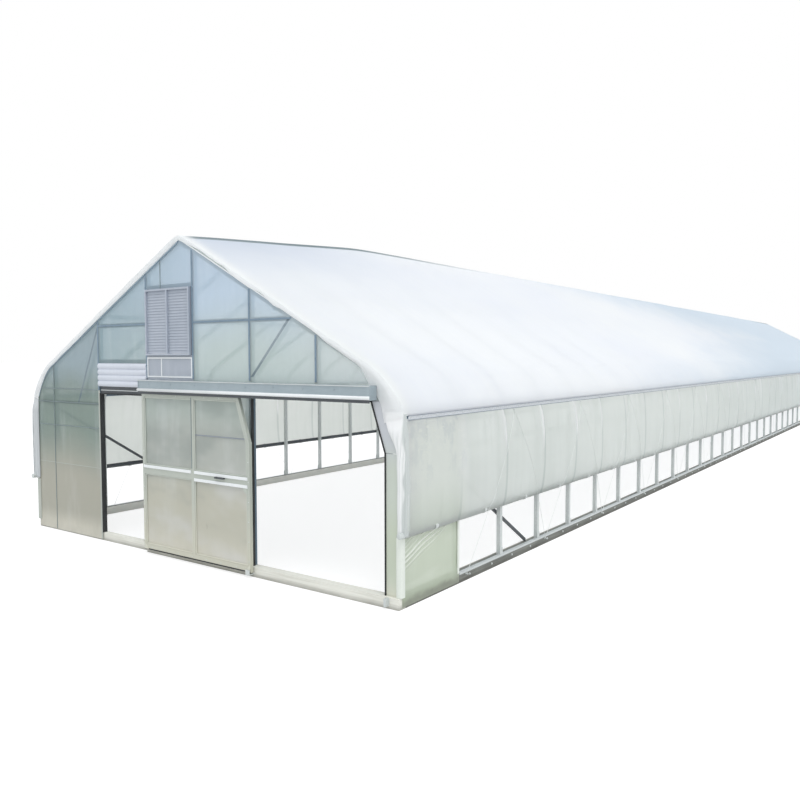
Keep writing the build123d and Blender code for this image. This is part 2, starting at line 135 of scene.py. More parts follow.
def plane_noise(first: Array, second: Array, seed: int) -> Array:
    """Noise over a plane, from -1 to 1: random heights on a square grid joined by smooth steps.

    Args:
        first: Places along the first axis.
        second: Places along the second axis.
        seed: Which grid of random heights.

    Returns:
        The noise at each pair of places.
    """
    side = NOISE_SIDE
    heights = np.random.default_rng(seed).uniform(-1.0, 1.0, (side, side))
    low_a, low_b = np.floor(first).astype(int), np.floor(second).astype(int)
    share_a, share_b = smooth_step(first - low_a), smooth_step(second - low_b)
    a0, a1, b0, b1 = low_a % side, (low_a + 1) % side, low_b % side, (low_b + 1) % side
    near = heights[a0, b0] * (1.0 - share_a) + heights[a1, b0] * share_a
    far = heights[a0, b1] * (1.0 - share_a) + heights[a1, b1] * share_a
    return near * (1.0 - share_b) + far * share_b


@dataclass
class Shape:
    """Points and faces of a mesh. Each array of faces has rows of equal length."""

    points: Array
    faces: list[Array]
    folds: Array | None = None

    def outward(self) -> "Shape":
        """The closed shape with its faces turned outwards, judged by its signed volume.

        Returns:
            The shape itself.
        """
        total = 0.0
        for rows in self.faces:
            corner = self.points[rows]
            spokes = np.cross(corner[:, 1:-1], corner[:, 2:])
            total += float(np.sum(spokes * corner[:, :1]))
        if total < 0.0:
            self.faces = [rows[:, ::-1] for rows in self.faces]
        return self


def joined(shapes: Sequence[Shape]) -> Shape:
    """Several shapes as one, their faces counted on from each other.

    Args:
        shapes: The shapes to join.

    Returns:
        One shape that holds them all.
    """
    starts = np.cumsum([0] + [len(shape.points) for shape in shapes[:-1]])
    faces = [rows + start for shape, start in zip(shapes, starts) for rows in shape.faces]
    return Shape(np.concatenate([shape.points for shape in shapes]), faces)


def grid_faces(rows: int, columns: int, ring: bool = False) -> Array:
    """Quads over a grid of points counted row by row.

    Args:
        rows: Rows of points.
        columns: Points in a row.
        ring: Whether each row closes on itself.

    Returns:
        Four point numbers for each quad.
    """
    across = columns if ring else columns - 1
    row, column = np.meshgrid(np.arange(rows - 1), np.arange(across), indexing="ij")
    after = (column + 1) % columns
    corners = (row * columns + column, row * columns + after, (row + 1) * columns + after, (row + 1) * columns + column)
    return np.stack(corners, axis=-1).reshape(-1, 4)


def stack_faces(count: int, levels: int, corners: int) -> list[Array]:
    """Faces of equal stacks of rings: quads between the rings, and a cap at the foot and head of each stack.

    Args:
        count: How many stacks.
        levels: Rings in a stack.
        corners: Points in a ring.

    Returns:
        Quads, caps of the feet and caps of the heads.
    """
    first = (np.arange(count) * levels * corners)[:, None]
    quads = (first[:, :, None] + grid_faces(levels, corners, ring=True)[None]).reshape(-1, 4)
    feet = first + np.arange(corners)[None, ::-1]
    return [quads, feet, first + (levels - 1) * corners + np.arange(corners)[None, :]]


def surface(points: Array, folds: Array | None = None, turned: bool = False) -> Shape:
    """An open sheet: a point for each pair of parameters, with quads between neighbours.

    Args:
        points: Rows by columns of points.
        folds: How strongly each point lies on a fold, from 0 to 1.
        turned: Whether the faces look the other way.

    Returns:
        The sheet.
    """
    faces = grid_faces(*points.shape[:2])
    flat = None if folds is None else folds.reshape(-1)
    return Shape(points.reshape(-1, 3), [faces[:, ::-1] if turned else faces], flat)


def unit(vectors: Array) -> Array:
    """The same directions at a length of one."""
    return vectors / np.linalg.norm(vectors, axis=-1, keepdims=True)


def points_at(x: Any, y: Any, z: Any) -> Array:
    """Points from three coordinates, each a number or an array, spread over each other's shape."""
    return np.stack(np.broadcast_arrays(x, y, z), axis=-1).astype(float)


def mirrored(points: Array, side: float) -> Array:
    """Points with their X, which comes first, times 1 for the right side or -1 for the left."""
    return points * np.append(side, np.ones(points.shape[-1] - 1))


def halves(count: int) -> tuple[tuple[str, slice], tuple[str, slice]]:
    """The front and the back half of a run of lines, which share its middle line."""
    return ("front", slice(0, count // 2 + 1)), ("back", slice(count // 2, None))


def spots_round(xs: Sequence[float], zs: Sequence[float], up: Array, wide: Array, y: float) -> Array:
    """Points round an upright frame's face: at heights up each side, then at places across each rail."""
    return np.concatenate([points_at(x, y, up) for x in xs] + [points_at(wide, y, z) for z in zs])


def spread(axis: Array, profile: Array, up: Sequence[float]) -> Array:
    """The corners of a section square to each direction: side times their first place plus top times their second.

    Args:
        axis: Directions of length one.
        profile: Corners of the section, as side and top distances.
        up: The direction nearest to the section's top; side is square to it and to the axis.

    Returns:
        Directions by corners of offsets.
    """
    side = unit(np.cross(np.array(up, float), axis))
    return side[:, None] * profile[:, :1] + np.cross(axis, side)[:, None] * profile[:, 1:]


def bars(starts: Array, ends: Array, profile: Array, up: Sequence[float]) -> Shape:
    """Straight bars: one closed profile carried from each start to its end, with flat caps.

    Args:
        starts: Where the bars begin.
        ends: Where the bars end.
        profile: Corners of the section, as side and top distances.
        up: The direction nearest to the section's top.

    Returns:
        All the bars as one shape.
    """
    starts, ends = np.atleast_2d(starts).astype(float), np.atleast_2d(ends).astype(float)
    corners = spread(unit(ends - starts), profile, up)
    points = np.stack((starts[:, None] + corners, ends[:, None] + corners), axis=1)
    return Shape(points.reshape(-1, 3), stack_faces(len(starts), 2, len(profile))).outward()


def tube(path: Array, profile: Array, up: Sequence[float]) -> Shape:
    """One closed profile carried along a path of many points, capped at both ends.

    Each ring stands square to the path's own direction there.

    Args:
        path: The points that the middle follows.
        profile: Corners of the section, as side and top distances.
        up: The direction nearest to the section's top.

    Returns:
        The tube.
    """
    points = path[:, None] + spread(unit(np.gradient(path, axis=0)), profile, up)
    return Shape(points.reshape(-1, 3), stack_faces(1, len(path), len(profile))).outward()


def lathes(centres: Array, axis: Sequence[float], section: Sequence[tuple[float, float]], sides: int) -> Shape:
    """Turned studs: a section of radius and height spun round the same axis at each centre.

    Args:
        centres: Where the studs stand.
        axis: The way that they point.
        section: Radius and height of each ring, from the foot up; no radius is zero.
        sides: Corners of a ring.

    Returns:
        All the studs as one shape.
    """
    axis = unit(np.array(axis, float))
    helper = np.array(UPWARD) if abs(axis[2]) < 0.9 else np.array(RIGHTWARD)
    side = unit(np.cross(helper, axis))
    top = np.cross(axis, side)
    angle = np.arange(sides) * 2.0 * math.pi / sides
    ring = side * np.cos(angle)[:, None] + top * np.sin(angle)[:, None]
    radius, height = np.array(section).T[..., None, None]
    points = np.asarray(centres, float)[:, None, None] + ring * radius + axis * height
    return Shape(points.reshape(-1, 3), stack_faces(len(points), len(section), sides)).outward()


def round_section(radius: float, sides: int) -> Array:
    """The corners of a round section."""
    angle = np.arange(sides) * 2.0 * math.pi / sides
    return radius * np.stack((np.cos(angle), np.sin(angle)), axis=1)


def flat_section(width: float, height: float, chamfer: float) -> Array:
    """The corners of a flat bar's section with cut corners.

    Args:
        width: Across the section.
        height: Up the section.
        chamfer: What each corner loses both ways.

    Returns:
        Eight corners round the section.
    """
    x, y = width / 2.0, height / 2.0
    x_in, y_in = x - chamfer, y - chamfer
    corners = ((x, -y_in), (x, y_in), (x_in, y), (-x_in, y), (-x, y_in), (-x, -y_in), (-x_in, -y), (x_in, -y))
    return np.array(corners)


class Value:
    """A number in a node tree. Arithmetic on it adds Math nodes."""

    def __init__(self, nodes: "Nodes", socket: Socket) -> None:
        """Keeps the tree and the socket that gives the number."""
        self.nodes = nodes
        self.socket = socket

    def _math(self, operation: str, first: Any, second: Any) -> "Value":
        """One Math node on two numbers."""
        made = self.nodes.add("ShaderNodeMath", {0: first, 1: second}, operation=operation)
        return Value(self.nodes, made.outputs[0])

    def __add__(self, other: Any) -> "Value":
        """This number plus another."""
        return self._math("ADD", self, other)

    __radd__ = __add__

    def __sub__(self, other: Any) -> "Value":
        """This number less another."""
        return self._math("SUBTRACT", self, other)

    def __rsub__(self, other: Any) -> "Value":
        """Another number less this one."""
        return self._math("SUBTRACT", other, self)

    def __mul__(self, other: Any) -> "Value":
        """This number times another."""
        return self._math("MULTIPLY", self, other)

    __rmul__ = __mul__

    def sine(self) -> "Value":
        """The sine of this number."""
        return self._math("SINE", self, 0.0)

    def size(self) -> "Value":
        """This number without its sign."""
        return self._math("ABSOLUTE", self, 0.0)

    def step(self, low: float, high: float) -> "Value":
        """A smooth rise from 0 at low to 1 at high.

        Args:
            low: Where it starts.
            high: Where it ends; below low for a fall.

        Returns:
            The rise.
        """
        sockets = {0: self, 1: low, 2: high, 3: 0.0, 4: 1.0}
        made = self.nodes.add("ShaderNodeMapRange", sockets, interpolation_type="SMOOTHSTEP")
        return Value(self.nodes, made.outputs[0])


class Nodes:
    """The node tree of one finish."""

    def __init__(self, name: str) -> None:
        """Starts an empty material.

        Args:
            name: The material's name.
        """
        self.material = bpy.data.materials.new(name)
        self.material.use_nodes = True
        self.tree = self.material.node_tree
        self.tree.nodes.clear()

    def add(self, kind: str, sockets: dict[Any, Any] | None = None, **settings: Any) -> Any:
        """One node of any type.

        Args:
            kind: The node's type.
            sockets: Values or links of its inputs, by name or number.
            settings: Its own settings, set first.

        Returns:
            The node.
        """
        node = self.tree.nodes.new(kind)
        for key, value in settings.items():
            setattr(node, key, value)
        for key, value in (sockets or {}).items():
            if isinstance(value, Value):
                value = value.socket
            if isinstance(value, Socket):
                self.tree.links.new(value, node.inputs[key])
            elif isinstance(value, tuple) and len(value) == 3 and len(node.inputs[key].default_value) == 4:
                node.inputs[key].default_value = (*value, 1.0)
            else:
                node.inputs[key].default_value = value
        return node

    def place(self) -> Socket:
        """The point on the piece, in metres in the part's frame."""
        return self.add("ShaderNodeTexCoord").outputs["Object"]

    def axes(self) -> tuple[Value, Value, Value]:
        """The point's X, Y and Z as numbers."""
        split = self.add("ShaderNodeSeparateXYZ", {0: self.place()})
        return tuple(Value(self, socket) for socket in split.outputs)

    def stretched(self, scale: Sequence[float]) -> Socket:
        """The point with X, Y and Z each scaled."""
        return self.add("ShaderNodeMapping", {"Vector": self.place(), "Scale": tuple(scale)}).outputs[0]

    def noise(self, scale: Sequence[float], detail: float = 3.0, roughness: float = 0.55) -> Value:
        """Soft noise about 0 to 1: grains per metre along X, Y and Z, finer layers and how strong they are."""
        sockets = {"Vector": self.stretched(scale), "Scale": 1.0, "Detail": detail, "Roughness": roughness}
        return Value(self, self.add("ShaderNodeTexNoise", sockets).outputs[0])

    def cells(self, scale: Sequence[float]) -> Value:
        """Random tones in cells, as crystals have.

        Args:
            scale: Cells per metre along X, Y and Z.

        Returns:
            A tone from 0 to 1, the same all over a cell.
        """
        made = self.add("ShaderNodeTexVoronoi", {"Vector": self.stretched(scale), "Scale": 1.0})
        split = self.add("ShaderNodeSeparateColor", {0: made.outputs["Color"]})
        return Value(self, split.outputs[0])

    def attribute(self, name: str) -> Value:
        """A number that the piece's mesh holds at its points."""
        return Value(self, self.add("ShaderNodeAttribute", attribute_name=name).outputs["Fac"])

    def blend(self, first: Any, second: Any, factor: Any) -> Socket:
        """Two colours mixed: the first at a factor of 0, the second at 1."""
        return self.add("ShaderNodeMix", {0: factor, 6: first, 7: second}, data_type="RGBA").outputs[2]

    def bump(self, height: Value, strength: float, distance: float) -> Socket:
        """A surface normal tilted by a height, with how much of it shows and the metres at a height of 1."""
        sockets = {"Height": height, "Strength": strength, "Distance": distance}
        return self.add("ShaderNodeBump", sockets).outputs[0]

    def principled(self, **sockets: Any) -> Any:
        """The surface shader; a socket's name is written with underscores for spaces."""
        named = {key.replace("_", " "): value for key, value in sockets.items()}
        return self.add("ShaderNodeBsdfPrincipled", named)

    def sheer(self, shine: Any, tone: Any, glow: float, clear: Any) -> Material:
        """A see-through sheet: a shiny face, light scattered from behind, and a clear share.

        Args:
            shine: The shader of its face.
            tone: The colour that it gives to light from behind.
            glow: The share of that light.
            clear: The share that is clear, or None for a sheet that isn't.

        Returns:
            The finished material.
        """
        through = self.add("ShaderNodeBsdfTranslucent", {"Color": tone})
        shown = self.add("ShaderNodeMixShader", {0: glow, 1: shine.outputs[0], 2: through.outputs[0]})
        if clear is not None:
            gap = self.add("ShaderNodeBsdfTransparent")
            shown = self.add("ShaderNodeMixShader", {0: clear, 1: shown.outputs[0], 2: gap.outputs[0]})
        return self.output(shown)

    def output(self, shader: Any) -> Material:
        """The finished material, which shows the first output of a shader node."""
        self.add("ShaderNodeOutputMaterial", {"Surface": shader.outputs[0]})
        return self.material


@dataclass(frozen=True)
class FilmFinish:
    """Milky greenhouse film that scatters the light passing through it."""

    name: str
    colour: Colour
    shade: Colour
    highlight_colour: Colour
    glow: float
    clear: float
    rough: float
    crinkle: float = 0.35
    crumpled_from: float = 0.0
    ridge_line: Colour | None = None
    end_shade: Colour | None = None
    # far: a painted sky reflection.
    far: Colour | None = None
    bright_height: float = 3.1
    bay: float = 0.0
    first_post: float = -19.54
    post_shadow: Colour = tint(176, 188, 184)
    crumple_highlight: Colour = tint(253, 253, 255)
    crumple_shade: Colour = tint(224, 227, 235)
    ground_tone: Colour = tint(142, 140, 132)
    ground_tone_top: float = 0.0

    def build(self) -> Material:
        """Cloudy tone, painted highlights on folds, a crumpled stretch near the ends with painted highlight and shade,
        painted shade high near the ends, a darker line along the ridge, painted post shadows, a painted sky reflection,
        darker near the ground, and a fine crinkle.

        Returns:
            The material.
        """
        nodes = Nodes(self.name)
        cloud = nodes.noise((0.35, 0.22, 0.8), 4.0)
        streak = nodes.noise((1.5, 9.0, 0.9), 3.0)
        fold = nodes.attribute("fold")
        x, y, z = nodes.axes()
        tone = nodes.blend(self.colour, self.shade, (cloud * 0.9 + streak * 0.25 - 0.15).step(0.15, 0.75))
        # Painted shade high up near both ends.
        if self.end_shade is not None:
            tone = nodes.blend(tone, self.end_shade, y.size().step(15.0, 19.4) * z.step(3.0, 4.0) * (0.3 + cloud))
        # Painted sky reflection: bluish towards the back and away from the bright band at bright_height.
        if self.far is not None:
            away = y + (z - self.bright_height).size() * 9.0 + cloud * 10.0 - 5.0
            tone = nodes.blend(tone, self.far, away.step(-5.0, 9.0))
        # A darker line along the ridge, stronger towards both ends.
        if self.ridge_line is not None:
            ridge_line_reach = y.size().step(11.5, 16.5) * (0.7 + cloud * 0.5)
            tone = nodes.blend(tone, self.ridge_line, x.size().step(0.13, 0.09) * ridge_line_reach)
        # Painted shadow of each post, seen through the film.
        if self.bay > 0.0:
            along = (y - self.first_post) * (2.0 * math.pi / self.bay) + math.pi / 2.0
            post = along.sine().step(0.980, 0.997)
            tone = nodes.blend(tone, self.post_shadow, post * (0.18 + cloud * 0.35))
        # Darker towards the ground.
        if self.ground_tone_top > 0.0:
            splash = nodes.noise((6.0, 6.0, 9.0), 5.0)
            ground_darkening = (z - splash * 0.09).step(self.ground_tone_top, 0.0) * (0.2 + splash * 0.6)
            tone = nodes.blend(tone, self.ground_tone, ground_darkening)
        height = nodes.noise((5.0, 7.0, 4.0), 4.0)
        if self.crumpled_from > 0.0:
            # Crumpled stretch: a painted highlight over its top and in white flecks, and painted shade in dull patches.
            where = y.size().step(self.crumpled_from, self.crumpled_from + 0.25)
            tone = nodes.blend(tone, self.crumple_highlight, where * z.step(0.6, 1.3) * 0.9)
            fleck = (nodes.noise((8.0, 10.0, 24.0), 3.0, 0.55) - 0.54).step(0.0, 0.10)
            patch = (nodes.noise((2.0, 2.6, 3.0), 3.0) - 0.42).step(0.0, 0.2)
            dull = (nodes.noise((5.0, 7.0, 4.0), 4.0) - 0.5).step(0.0, 0.16)
            upper = where * z.step(0.95, 1.7)
            tone = nodes.blend(tone, self.crumple_shade, dull * upper * 0.5)
            sharp = fleck * patch * upper
            tone = nodes.blend(tone, self.highlight_colour, sharp * 0.9)
            height = height + sharp * 1.6
        # Painted highlight: the paler tone where the fold attribute marks folds, wrapped edges and faces towards the
        # light.
        tone = nodes.blend(tone, self.highlight_colour, fold)
        shine = nodes.principled(
            Base_Color=tone,
            Roughness=self.rough + cloud * 0.22,
            Normal=nodes.bump(height, self.crinkle, 0.006),
            Specular_IOR_Level=0.35,
        )
        share = self.clear * (1.0 - fold * 0.7) * (0.8 + cloud * 0.4) if self.clear > 0.0 else None
        return nodes.sheer(shine, tone, self.glow, share)


@dataclass(frozen=True)
class SheetFinish:
    """Twin-wall plastic sheet: fluted upright, bluish above, dusty towards the ground."""

    name: str
    high: Colour
    middle: Colour
    low: Colour
    clear: float
    glow: float
    bands: tuple[float, float, float, float] = (0.7, 1.9, 1.7, 2.7)
    clear_from: float = 0.0
    left_shade: Colour | None = None
    left_shade_across: tuple[float, float] = (0.9, -1.7)
    splash: float = 0.35
    flute: float = 0.01
    brace: tuple[float, float, float, float] | None = None
    reflection_patches: float = 0.0
    sunlit: Colour = tint(232, 237, 237)
    rain: Colour = tint(238, 242, 244)
    ground_tone: Colour = tint(232, 228, 214)
    dark_reflection: Colour = tint(148, 156, 152)
    pale_reflection: Colour = tint(226, 226, 224)
    brace_shadow: Colour = tint(104, 124, 138)

    def build(self) -> Material:
        """Tone by height with water marks and dust, painted shade to the left and painted light to the right, painted
        reflections, upright flutes, and the painted shadow of a brace close behind.

        Returns:
            The material.
        """
        nodes = Nodes(self.name)
        x, y, z = nodes.axes()
        stain = nodes.noise((3.0, 3.0, 0.6), 5.0)
        cloud = nodes.noise((0.7, 0.7, 0.5), 3.0)
        dust = nodes.noise((9.0, 9.0, 4.0), 5.0)
        level = z + cloud * 0.5 - 0.25
        low, part, mid, high = self.bands
        tone = nodes.blend(self.low, self.middle, level.step(low, part))
        tone = nodes.blend(tone, self.high, level.step(mid, high))
        # Painted shade on the left of the wall and painted light on the right.
        if self.left_shade is not None:
            tone = nodes.blend(tone, self.left_shade, (x + cloud * 0.6 - 0.3).step(*self.left_shade_across) * 0.75)
            tone = nodes.blend(tone, self.sunlit, x.step(1.3, 2.9) * 0.6)
        tone = nodes.blend(tone, self.rain, (stain - 0.52).step(0.0, 0.3) * 0.3)
        tone = nodes.blend(tone, self.ground_tone, z.step(self.splash, 0.05) * (0.35 + dust * 0.6))
        # Painted reflections: broad darker and paler patches on the panes.
        if self.reflection_patches > 0.0:
            sheen = nodes.noise((0.9, 0.9, 1.6), 3.0)
            tone = nodes.blend(tone, self.dark_reflection, (0.5 - sheen).step(0.0, 0.2) * self.reflection_patches)
            tone = nodes.blend(tone, self.pale_reflection, (sheen - 0.5).step(0.0, 0.2) * self.reflection_patches)
        # Painted shadow of the brace just behind the sheet.
        if self.brace is not None:
            foot_x, foot_z, head_x, head_z = self.brace
            across, up = head_x - foot_x, head_z - foot_z
            long = math.hypot(across, up)
            off = (x - foot_x) * (up / long) - (z - foot_z) * (across / long)
            line = off.size().step(0.021, 0.010) * z.step(foot_z - 0.02, foot_z) * z.step(head_z + 0.02, head_z)
            tone = nodes.blend(tone, self.brace_shadow, line * y.step(1.0, -1.0) * 0.8)
        flutes = (x * (2.0 * math.pi / self.flute)).sine() * 0.5 + 0.5
        shine = nodes.principled(
            Base_Color=tone,
            Roughness=0.2 + stain * 0.25,
            Normal=nodes.bump(flutes, 0.12, 0.001),
            Specular_IOR_Level=0.5,
        )
        share = self.clear * (1.2 - stain * 0.4)
        if self.clear_from > 0.0:
            share = share * (0.2 + z.step(self.clear_from, self.clear_from + 0.6) * 0.8)
        return nodes.sheer(shine, tone, self.glow, share)


@dataclass(frozen=True)
class MetalFinish:
    """Bare or coated metal: crystals or brush marks, dull patches and rain streaks."""

    name: str
    colour: Colour
    dull: Colour
    metallic: float
    rough: float
    crystals: float = 0.0
    brush: tuple[float, float, float] = (60.0, 60.0, 60.0)
    streaks: float = 0.2
    dust: Colour | None = None
    dust_top: float = 1.1

    def build(self) -> Material:
        """Two tones mixed by crystals and brush marks, with varied roughness and dust near the ground.

        Returns:
            The material.
        """
        nodes = Nodes(self.name)
        grain = nodes.noise(self.brush, 3.0)
        patch = nodes.noise((2.2, 1.1, 2.2), 3.0)
        rain = nodes.noise((22.0, 22.0, 1.2), 3.0)
        share = grain * 0.35 + patch * 0.5 + (rain - 0.5) * self.streaks
        if self.crystals > 0.0:
            share = share * 0.8 + nodes.cells((self.crystals, self.crystals, self.crystals)) * 0.2
        tone = nodes.blend(self.colour, self.dull, share.step(0.15, 0.8) * 0.8)
        if self.dust is not None:
            tone = nodes.blend(tone, self.dust, nodes.axes()[2].step(self.dust_top, 0.15) * (0.5 + patch * 0.5))
        return nodes.output(
            nodes.principled(
                Base_Color=tone,
                Metallic=self.metallic * (1.0 - patch * 0.25),
                Roughness=self.rough + grain * 0.12,
                Normal=nodes.bump(grain, 0.12, 0.0006),
            )
        )


@dataclass(frozen=True)
class TimberFinish:
    """Weathered sill timber: long grain, checks, and damp near the ground."""

    name: str
    pale: Colour
    dark: Colour
    along: tuple[float, float, float]
    sheltered_and_lit: Colour | None = None
    sheltered_face: float = 3.1
    wet: Colour = tint(70, 66, 58)

    def build(self) -> Material:
        """Grain stretched along the timber over broad weathering, paler on the inner face, partly as timber under cover
        and partly as painted light.

        Returns:
            The material.
        """
        nodes = Nodes(self.name)
        grain = nodes.noise(self.along, 6.0, 0.65)
        weather = nodes.noise((1.7, 1.7, 5.0), 4.0)
        x, _, z = nodes.axes()
        damp = z.step(0.07, 0.0)
        tone = nodes.blend(self.pale, self.dark, (grain * 0.8 + weather * 0.4 - 0.1).step(0.3, 0.75))
        # Paler inner face: partly timber kept from the weather, partly painted light against the shade inside.
        if self.sheltered_and_lit is not None:
            inside = x.size().step(self.sheltered_face + 0.03, self.sheltered_face + 0.002)
            tone = nodes.blend(tone, self.sheltered_and_lit, inside * (0.7 + grain * 0.4))
            damp = damp * (1.0 - inside * 0.8)
        tone = nodes.blend(tone, self.wet, damp * (0.25 + weather * 0.5))
        return nodes.output(
            nodes.principled(
                Base_Color=tone,
                Roughness=0.7 + grain * 0.2,
                Normal=nodes.bump(grain, 0.5, 0.004),
            )
        )


@dataclass(frozen=True)
class DullFinish:
    """Rubber or rope: one colour with dust in patches and a fine grain."""

    name: str
    colour: Colour
    dust: Colour
    rough: float
    grain: float = 120.0

    def build(self) -> Material:
        """Dusty patches over a fine grain.

        Returns:
            The material.
        """
        nodes = Nodes(self.name)
        fine = nodes.noise((self.grain, self.grain, self.grain), 2.0)
        patch = nodes.noise((5.0, 5.0, 2.0), 4.0)
        tone = nodes.blend(self.colour, self.dust, (patch * 0.8 + fine * 0.4 - 0.1).step(0.4, 0.9))
        return nodes.output(
            nodes.principled(
                Base_Color=tone,
                Roughness=self.rough + fine * 0.15,
                Normal=nodes.bump(fine, 0.3, 0.001),
            )
        )


class Palette:
    """Every finish of the part, built once."""

    def __init__(self) -> None:
        """Builds the materials."""
        # The roof's far tone is a painted sky reflection.
        self.roof = FilmFinish(
            "roof_film", tint(253, 254, 255), tint(245, 247, 253), tint(254, 255, 255), 0.42, 0.0, 0.34, 0.15,
            ridge_line=tint(126, 143, 148), end_shade=tint(214, 223, 238), far=tint(222, 233, 243),
        ).build()
        self.lining_film = FilmFinish(
            "roof_lining_film", tint(244, 246, 247), tint(236, 240, 242), tint(246, 248, 249), 0.5, 0.5, 0.3
        ).build()
        self.curtain = FilmFinish(
            "side_film", tint(238, 242, 237), tint(226, 231, 226), tint(255, 255, 255), 0.56, 0.05, 0.3, 0.2,
            crumpled_from=18.3, bay=1.0,
        ).build()
        self.gather = FilmFinish(
            "gathered_film", tint(214, 219, 217), tint(204, 209, 208), tint(255, 255, 255), 0.15, 0.0, 0.34
        ).build()
        self.shaded_gather = FilmFinish(
            "shaded_gathered_film", tint(182, 186, 188), tint(170, 175, 178), tint(214, 217, 219), 0.15, 0.0, 0.34
        ).build()
        self.panel = FilmFinish(
            "end_panel_film", tint(207, 216, 197), tint(192, 202, 180), tint(250, 252, 246), 0.3, 0.08, 0.3, 0.2,
            ground_tone_top=0.07,
        ).build()
        self.sheet = SheetFinish(
            "twin_wall_sheet", tint(204, 222, 238), tint(203, 217, 214), tint(212, 212, 202), 0.42, 0.12,
            bands=(0.7, 1.9, 2.4, 3.25), left_shade=tint(150, 177, 187), brace=(1.21, 2.22, 1.766, 2.835),
        ).build()
        # Left wall sheets: a darker copy of the twin-wall sheet, painted shade on the wall's left.
        self.shaded_left_sheet = SheetFinish(
            "left_wall_sheet", tint(156, 176, 184), tint(138, 156, 149), tint(180, 178, 164), 0.38, 0.12,
            bands=(0.7, 1.6, 1.9, 2.4), clear_from=0.9, brace=(-2.155, 1.815, -1.655, 2.873),
        ).build()
        self.light_sheet = SheetFinish(
            "vent_light_sheet", tint(188, 195, 206), tint(188, 195, 206), tint(188, 195, 206), 0.25, 0.12
        ).build()
        self.corner_sheet = SheetFinish(
            "corner_sheet", tint(209, 212, 217), tint(210, 217, 206), tint(207, 215, 196), 0.04, 0.12,
            bands=(0.7, 1.2, 1.35, 1.75),
        ).build()
        self.pane = SheetFinish(
            "door_pane", tint(184, 194, 187), tint(190, 194, 187), tint(204, 202, 187), 0.12, 0.12,
            bands=(0.8, 1.2, 1.4, 1.9), splash=0.55, reflection_patches=0.5,
        ).build()
        # Sheet behind the parked leaf: a paler, clearer copy, painted light against the track's shadow.
        self.lit_parked_sheet = SheetFinish(
            "parked_bay_sheet", tint(226, 240, 240), tint(222, 234, 232), tint(212, 216, 204), 0.55, 0.5
        ).build()
        self.galvanised = MetalFinish(
            "galvanised_steel", tint(212, 216, 214), tint(186, 192, 192), 0.25, 0.42, crystals=70.0
        ).build()
        # Frame members: galvanised steel darkened as painted shade.
        self.shaded_frame = MetalFinish(
            "shaded_frame_steel", tint(104, 122, 136), tint(84, 102, 116), 0.25, 0.45, crystals=70.0
        ).build()
        self.joint = MetalFinish("joint_strip", tint(128, 147, 163), tint(108, 129, 147), 0.15, 0.4).build()
        self.fine_joint = MetalFinish("fine_joint", tint(122, 136, 138), tint(104, 119, 122), 0.1, 0.4).build()
        self.pale = MetalFinish("pale_section", tint(240, 242, 243), tint(220, 224, 225), 0.1, 0.34).build()
        self.strip = MetalFinish("film_strip", tint(232, 236, 228), tint(214, 219, 210), 0.05, 0.4).build()
        self.shaded_strip = MetalFinish("shaded_strip", tint(184, 188, 180), tint(168, 173, 165), 0.05, 0.4).build()
        self.channel = MetalFinish("clip_channel", tint(226, 229, 233), tint(206, 210, 215), 0.1, 0.36).build()
        # Dim grey: the clip channel's painted shadow lines, and the door's pane rib.
        self.edge = MetalFinish("clip_edge", tint(150, 157, 166), tint(128, 136, 146), 0.2, 0.4).build()
        # Dark steel for the small header and the door pull; on the roll bars, corner braces and the strip under the
        # track's lip the dark is painted shade.
        self.dark = MetalFinish("dark_steel", tint(88, 92, 96), tint(58, 62, 66), 0.3, 0.5).build()
        self.aluminium = MetalFinish(
            "aluminium_section", tint(208, 212, 212), tint(186, 192, 192), 0.25, 0.36, brush=(20.0, 90.0, 90.0)
        ).build()
        self.leaf_frame = MetalFinish(
            "leaf_section", tint(186, 191, 182), tint(168, 174, 166), 0.2, 0.36, brush=(20.0, 90.0, 90.0),
            dust=tint(204, 201, 184),
        ).build()
        self.leaf_bead = MetalFinish(
            "leaf_bead", tint(194, 199, 190), tint(178, 184, 176), 0.15, 0.36, dust=tint(216, 213, 198)
        ).build()
        self.track = MetalFinish(
            "track_section", tint(164, 176, 182), tint(140, 154, 161), 0.25, 0.4, brush=(12.0, 90.0, 90.0)
        ).build()
        self.louvre = MetalFinish(
            "louvre_metal", tint(180, 187, 198), tint(158, 166, 179), 0.2, 0.4, brush=(12.0, 60.0, 60.0)
        ).build()
        self.slat = MetalFinish(
            "white_slat", tint(214, 218, 227), tint(194, 199, 210), 0.0, 0.35, brush=(8.0, 60.0, 60.0)
        ).build()
        self.side_timber = TimberFinish(
            "side_sill_timber", tint(136, 138, 132), tint(92, 94, 90), (60.0, 1.6, 60.0),
            sheltered_and_lit=tint(246, 244, 236),
        ).build()
        self.front_timber = TimberFinish(
            "front_sill_timber", tint(238, 237, 228), tint(216, 214, 204), (1.6, 60.0, 60.0)
        ).build()
        self.rubber = DullFinish("dark_rubber", tint(34, 36, 38), tint(62, 64, 64), 0.62).build()
        self.rope = DullFinish("hold_down_rope", tint(236, 238, 236), tint(212, 214, 210), 0.75, 260.0).build()


